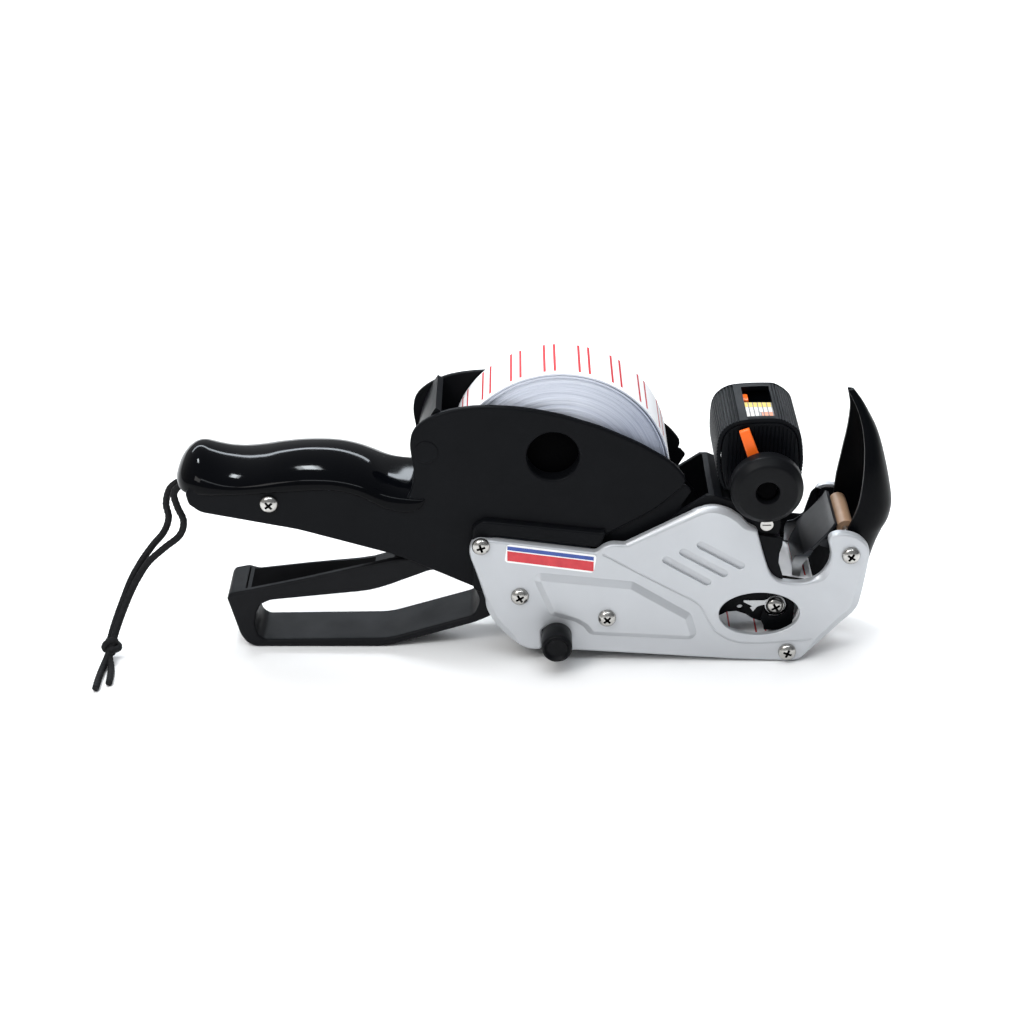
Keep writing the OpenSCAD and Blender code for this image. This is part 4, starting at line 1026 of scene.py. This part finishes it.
a1 = boxed("pointer_finger", [(75.4, 72.4, 2.2, 24, -18.4, -16.2), (72.4, 78.6, 1.95, 24, -18.4, -16.0), (70.7, 83.3, 1.85, 21, -18.35, -15.6),
                              (68.9, 87.85, 1.75, 20, -16.6, -15.0)], M["orange"])
stand(a1, "pointer", "pointer_orange", "pointer")
a2 = boxed("pointer_tongue", [(70.35, 84.9, 0.75, 0, -15.6, 6.4), (70.35, 86.1, 0.75, 0, -15.6, 6.4)], M["orange"], 0.2)
stand(a2, "pointer", "pointer_orange")
a3 = boxed("pointer_tip", [(71.2, 85.2, 1.2, 0, 6.0, 11.0), (71.2, 88.5, 1.2, 0, 6.0, 11.0)], M["orange"], 0.25)
stand(a3, "pointer", "pointer_orange")
ring = [(3.1, 0.0), (4.8, 0.0), (4.8, 2.2), (4.6, 2.4), (3.3, 2.4), (3.1, 2.2), (3.1, 0.0)]
stand(turned("pointer_hub", [(ring, (HD[0], -17.4, HD[1]), -1)], M["orange"], 48), "pointer", "pointer_orange")

# ------------------------------------------------------------------ print head hood
HOOD = [(63.4, 64.6), (61.2, 69), (60.4, 74), (60.3, 80), (60.8, 84.4), (62.6, 87.6), (66.4, 90), (72, 90.8), (79, 91), (82, 90.7),
        (85.2, 88.9), (87.6, 86.4), (88.8, 82.6), (89.4, 78), (89.6, 74), (88.9, 68), (86.8, 64.6)]
HOOD_IN = [(64.0, 64.6), (62.8, 69.3), (62, 74), (61.9, 80), (62.4, 83.8), (63.8, 86.4), (67, 88.5), (72.2, 89.3), (78.8, 89.5),
           (81.6, 89.2), (84.2, 87.8), (86.2, 85.6), (87.3, 82.2), (87.9, 78), (88.1, 74), (87.7, 68.4), (86.2, 64.6)]


def even(pts, step, n=8):
    """Evenly spaced points along a smooth open curve through pts, with the length run at each."""
    q = smooth_path([(a, b, 0) for a, b in pts], n)
    p, length = resample(q, step)
    return [(v.x, v.y) for v in p], length


def ribbed(pts, step, pitch, depth, side):
    """Move the points of an open curve in by the depth of fine ribs on its two shoulders."""
    p, length = even(pts, step)
    out = []
    for i, (x, z) in enumerate(p):
        a, b = p[max(i - 1, 0)], p[min(i + 1, len(p) - 1)]
        d = Vector((b[0] - a[0], b[1] - a[1])).normalized()
        n = Vector((d.y, -d.x)) * side
        s = length * i / (len(p) - 1)

        def ease(t):
            t = max(0.0, min(1.0, t))
            return t * t * (3 - 2 * t)
        w = ease((68.2 - x) / 0.8) if x < 75 else ease((x - 80.4) / 0.8)
        w *= ease((z - 66.5) / 2)
        c = 0.5 - 0.5 * math.cos(2 * math.pi * s / pitch)
        k = depth * w * c**1.6
        out.append((x + n.x * k, z + n.y * k))
    return out


out_line = ribbed(HOOD, 0.15, 1.25, 0.34, 1)
in_line = ribbed(HOOD_IN, 0.2, 1.25, 0.16, -1)
wall = ccw(out_line + in_line[::-1])
hood = plate("hood_shell", [dict(outer=wall, holes=[], y0=-14.0, y1=14.5, b0=0.32, b1=0, seg=3)], M["hood"])
hood.modifiers.clear()
cuts = []
for x0, x1, y0, y1, z0, z1 in ((70.2, 79.6, 0.5, 12, 84, 96), (70.2, 79.6, -11.4, 0.55, 90.2, 96)):
    vs = [(x, y, z) for z in (z0, z1) for x, y in ((x0, y0), (x1, y0), (x1, y1), (x0, y1))]
    cuts.append(obj_from("cut", vs, [(3, 2, 1, 0), (4, 5, 6, 7), (0, 1, 5, 4), (1, 2, 6, 5), (2, 3, 7, 6), (3, 0, 4, 7)], M["hood"], False))
boolean(hood, cuts)
hood.data.shade_smooth()
hood.data.set_sharp_from_angle(angle=math.radians(32))
flat_normals(hood)
stand(hood, "arm", "hood_plastic", "head_hood")
cap_line = ccw(even(HOOD, 0.5)[0])
end = plate("hood_end", [dict(outer=cap_line, holes=[circle(HD, 3.6, 40)], y0=16.1, y1=14.45, b0=1.2, b1=0, seg=5, hole_b=0.2)], M["hood"])
stand(end, "arm", "hood_plastic")

m, t, b = new_mat("scale_print")
sep = add(t, "ShaderNodeSeparateXYZ")
t.links.new(coords(t), sep.inputs[0])
n1 = noise(t, 420, 2.0)
yellow = ramp(t, n1, [(0.3, (0.50, 0.33, 0.015)), (0.7, (0.62, 0.44, 0.03))])
white = ramp(t, n1, [(0.3, (0.42, 0.41, 0.38)), (0.7, (0.54, 0.53, 0.50))])
warm = ramp(t, n1, [(0.3, (0.50, 0.15, 0.06)), (0.7, (0.62, 0.22, 0.10))])
grey = ramp(t, n1, [(0.3, (0.10, 0.10, 0.12)), (0.7, (0.16, 0.16, 0.18))])
y, x = sep.outputs["Y"], sep.outputs["X"]
c = mixc(t, window(t, y, -3.2 * K, 0.3 * K), grey, yellow)
c = mixc(t, window(t, y, -7.0 * K, -3.5 * K), c, white)
c = mixc(t, math_(t, "MULTIPLY", window(t, y, -11.0 * K, -7.3 * K), math_(t, "GREATER_THAN", x, 75.4 * K)), c, warm)
c = mixc(t, math_(t, "MULTIPLY", window(t, y, -11.0 * K, -7.3 * K), math_(t, "LESS_THAN", x, 74.9 * K)), c, white)
bars = math_(t, "LESS_THAN", math_(t, "FRACT", math_(t, "MULTIPLY", x, 1000.0 / 1.55)), 0.24)
c = mixc(t, bars, c, (0.06, 0.06, 0.065))
t.links.new(c, b.inputs["Base Color"])
b.inputs["Roughness"].default_value = 0.35
bump(t, b, n1, 0.05, 0.0001)
M["scale"] = m
sc = [(70.3, -11.25), (79.45, -11.25), (79.45, 0.35), (70.3, 0.35)]
vs = [(x, y, 90.12) for x, y in sc] + [(x, y, 90.32) for x, y in sc]
scale_card = obj_from("reading_scale", vs, [(3, 2, 1, 0), (4, 5, 6, 7), (0, 1, 5, 4), (1, 2, 6, 5), (2, 3, 7, 6), (3, 0, 4, 7)], M["scale"], False)
stand(scale_card, "arm", "label_print")

# ribbed inner face of the head below the hood
FACE = [(75 + 0.99 * (x - 75), 76 + 0.99 * (z - 76)) for x, z in even(HOOD_IN, 0.5)[0]] + [(82, 61.4), (71, 61.4)]
FACE_TOP = [(62.4, 83.8), (63.8, 86.4), (67, 88.5), (72.2, 89.3), (78.8, 89.5), (81.6, 89.2), (84.2, 87.8), (86.2, 85.6), (87.3, 82.2)]
ribs = []
for k in range(17):
    x = 64.5 + 1.35 * k
    lo = 76.2 if abs(x - HD[0]) < 4.6 else 66.4
    hi = 84.0 if 68.8 < x < 71.9 else curve(FACE_TOP, x) - 1.3
    ribs.append((slot_line((x, lo), (x, hi), 0.36, 4), [(0, 0), (0.12, 0.28), (0.2, 0.36)]))
slit = [(69.3, 84.6), (71.4, 84.6), (71.4, 86.4), (69.3, 86.4)]
stand(plate("head_face", [dict(outer=ccw(FACE), holes=[circle(HD, 3.6, 40), slit], y0=-13.85, y1=-12.5, b0=0.2, b1=0.1, seg=3,
                               hole_b=0.1, grooves=ribs)], M["hood"], 30), "arm", "hood_plastic")

# ------------------------------------------------------------------ front claw
FRONT = [(31.4, 115.6), (34, 116.5), (37.5, 117.4), (41, 118.4), (44, 119.5), (46.2, 120.4), (48, 121.3), (50, 122.0), (54, 122.5), (58, 122.1),
         (69.1, 119.6), (80.1, 116.2), (87.6, 112.4), (92, 109.7), (95.6, 107.0)]
REAR = [(31.4, 104.6), (37.5, 103.8), (45, 104.6), (49.6, 106.8), (56.7, 109.3), (62, 110.2), (68.5, 110.7), (76.3, 110.8), (81, 110.4), (85.2, 109.6),
        (90, 107.9), (95.4, 105.0)]
REAR_FAR = [(31.4, 104.6), (37.5, 103.8), (45, 104.5), (49.6, 104.8), (57, 105.1), (66, 106.1), (76.5, 106.9), (85.2, 106.8), (90, 106.3),
            (95.4, 105.0)]
HALF = [(31.4, 13.6), (49, 13.6), (57, 13.0), (68.5, 11.5), (76.5, 9.0), (86, 5.0), (91, 3.0), (95.6, 1.3)]


def claw_ring(z, grow=0.0):
    """Section of the claw at height z: a C open to the rear, with rounded lips."""
    xf, w = curve(FRONT, z), curve(HALF, z)
    xn, xb = curve(REAR, z), curve(REAR_FAR, z)
    th = min(1.7, 0.55 * w)
    n = 40
    outer, inner = [], []
    for k in range(n + 1):
        a = math.pi * (k / n - 0.5)
        y = w * math.copysign(abs(math.sin(a)) ** 0.80, math.sin(a))
        xr = xn if a < 0 else xb
        x = xr + (xf - xr) * abs(math.cos(a)) ** 0.80
        outer.append((x, y, z))
    wi, xi = w - th * 0.95, xf - th * 1.35
    for k in range(n + 1):
        a = math.pi * (k / n - 0.5)
        y = wi * math.copysign(abs(math.sin(a)) ** 0.80, math.sin(a))
        xr = xn if a < 0 else xb
        x = xr + max(0.2, xi - xr) * abs(math.cos(a)) ** 0.80
        inner.append((x, y, z))
    lip_hi = [(xb - 0.10 * math.sin(math.pi * q), w - (w - wi) * q, z) for q in (0.12, 0.3, 0.5, 0.7, 0.88)]
    lip_lo = [(xn - 0.10 * math.sin(math.pi * q), -wi - (w - wi) * q, z) for q in (0.12, 0.3, 0.5, 0.7, 0.88)]
    return outer + lip_hi + inner[::-1] + lip_lo


zs = [31.4 + 0.75 * k for k in range(86)] + [95.6]
rings = [claw_ring(z) for z in zs]
claw = loft("front_claw_shell", rings, M["claw"])
stand(claw, "body", "body_plastic", "front_claw")

# ------------------------------------------------------------------ label guide and hold-down fingers
def sheet_part(path, t0):
    """Thin curved strip outline in the x-z plane along a smooth path."""
    q = [(v.x, v.y) for v in resample(smooth_path([(a, b, 0) for a, b in path], 8), 0.5)[0]]
    return ccw(band_line(q, t0))


guide_line = sheet_part([(102.4, 50.6), (101.2, 48.4), (98.8, 45.2), (96.4, 42.4), (94.2, 39.9), (92.8, 38.2)], 1.2)
parts = [dict(outer=guide_line, holes=[], y0=-12.35, y1=12.35, b0=0.25, b1=0.25, seg=2)]
guide_tail = sheet_part([(93.2, 38.7), (92.4, 37.2), (91.2, 34.6), (90.4, 32.4), (90.1, 31.3)], 1.2)
parts.append(dict(outer=guide_tail, holes=[], y0=-10.4, y1=10.4, b0=0.25, b1=0.25, seg=2))
for s in (-1, 1):
    parts.append(dict(outer=fillet(ccw([(98.4, 44.4), (96.6, 42.2), (105.2, 39.5), (108.6, 39.9), (110.2, 42.6), (108.4, 45.6), (105.4, 45.6)]), 2.0),
                      holes=[circle(S4, 2.2, 32)], y0=s * 12, y1=s * 10.9, b0=0.15, b1=0.15, seg=2))
stand(plate("guide_sheet", parts, M["guide"]), "body", "body_plastic", "label_guide")
m, t, b = new_mat("leaf_steel")
sep = add(t, "ShaderNodeSeparateXYZ")
t.links.new(coords(t), sep.inputs[0])
up = remap(t, sep.outputs["Z"], 0.0, 1.0, 33.4 * K, 38.4 * K)
n1 = noise(t, 300, 3.0)
bright = ramp(t, n1, [(0.3, (0.40, 0.41, 0.42)), (0.7, (0.48, 0.49, 0.50))])
dark = ramp(t, n1, [(0.3, (0.016, 0.017, 0.020)), (0.7, (0.024, 0.025, 0.029))])
t.links.new(mixc(t, up, bright, dark), b.inputs["Base Color"])
b.inputs["Metallic"].default_value = 0.9
b.inputs["Roughness"].default_value = 0.34
bump(t, b, noise(t, 700, 2.0), 0.08, 0.0001)
M["leaf"] = m
tab = fillet(ccw([(88.4, 30.6), (91.3, 30.4), (91.9, 35), (95.4, 40.4), (94.4, 41.2), (91.4, 38.9), (89, 38.4), (88.3, 36)]), 0.5)
stand(plate("hold_down_tabs", [dict(outer=tab, holes=[], y0=s * 12.85, y1=s * 12.35, b0=0.12, b1=0.12, seg=2) for s in (-1, 1)], M["leaf"]),
      "body", "steel", "hold_down")

# ------------------------------------------------------------------ finish of the remaining nodes
def bevel_node(o, width, seg=2):
    bv = o.modifiers.new("edge", "BEVEL")
    bv.width = width * K
    bv.segments = seg
    bv.limit_method = "ANGLE"
    bv.angle_limit = math.radians(40)
    bv.use_clamp_overlap = True
    bv.harden_normals = False
    w = o.modifiers.new("weighted", "WEIGHTED_NORMAL")
    w.keep_sharp = True


m, t, b = new_mat("print_bands")
sep = add(t, "ShaderNodeSeparateXYZ")
t.links.new(coords(t), sep.inputs[0])
n1 = noise(t, 500, 2.0)
rubber = ramp(t, n1, [(0.3, (0.0055, 0.0055, 0.0062)), (0.7, (0.0085, 0.0085, 0.0092))])
t.links.new(rubber, b.inputs["Base Color"])
b.inputs["Roughness"].default_value = 0.6
bump(t, b, noise(t, 900, 2.0), 0.3, 0.0002)
M["bands"] = m

LOOK = {
    "magazine_rear_wall": "body", "handle_spacer": "steel", "lanyard_pin": "steel", "bottom_cover": "body", "hinge_pin": "steel",
    "latch_bar": "steel", "latch_springs": "steel", "lever_shaft": "steel", "lever_spring": "steel", "print_arm": "body",
    "arm_shaft": "steel", "head_frame": "body", "head_screws": "nickel", "print_bands": "bands", "band_wheels": "knob",
    # the selector shaft is drawn in the near-black of painted shade so the knob's hole looks dark
    "selector_shaft": "recess", "ink_roller": "ink", "ink_axle": "steel", "ink_arm": "body", "ink_pivot": "steel", "platen": "body",
    "platen_pad": "rubber", "feed_wheel": "rubber", "feed_shaft": "steel", "feed_leaf": "steel", "ratchet": "brass",
    "pawl": "brass", "pawl_pin": "knob", "strip_guide": "body", "roll_core": "card", "label_strip": "strip",
    "front_spacer": "steel", "applicator_roller": "brown", "applicator_axle": "steel",
}
EDGE = {"magazine_rear_wall": 0.45, "bottom_cover": 0.35, "print_arm": 0.5, "head_frame": 0.4, "platen": 0.2, "feed_wheel": 0.25,
        "applicator_roller": 0.3, "feed_leaf": 0.12, "ink_arm": 0.2, "head_screws": 0.15, "latch_bar": 0.2, "roll_core": 0.15}
FULL = {"frame_left": "body", "frame_right": "body", "grip": "grip", "handle_screws": "nickel", "side_cover_left": "silver",
        "side_cover_right": "silver", "cover_screws": "nickel", "sticker": "sticker", "latch_knobs": "knob", "lever": "lever",
        "head_hood": "hood", "selector_knob": "knob", "pointer": "orange", "hold_down": "leaf", "label_guide": "guide",
        "feed_screws": "nickel", "label_roll": "roll", "front_claw": "claw", "lanyard_a": "cord", "lanyard_b": "cord",
        "lanyard_knot": "cord"}
for n, o in NODES.items():
    look = LOOK.get(n) or FULL.get(n)
    o.data.materials.clear()
    o.data.materials.append(M[look])
    if n in EDGE:
        bevel_node(o, EDGE[n])
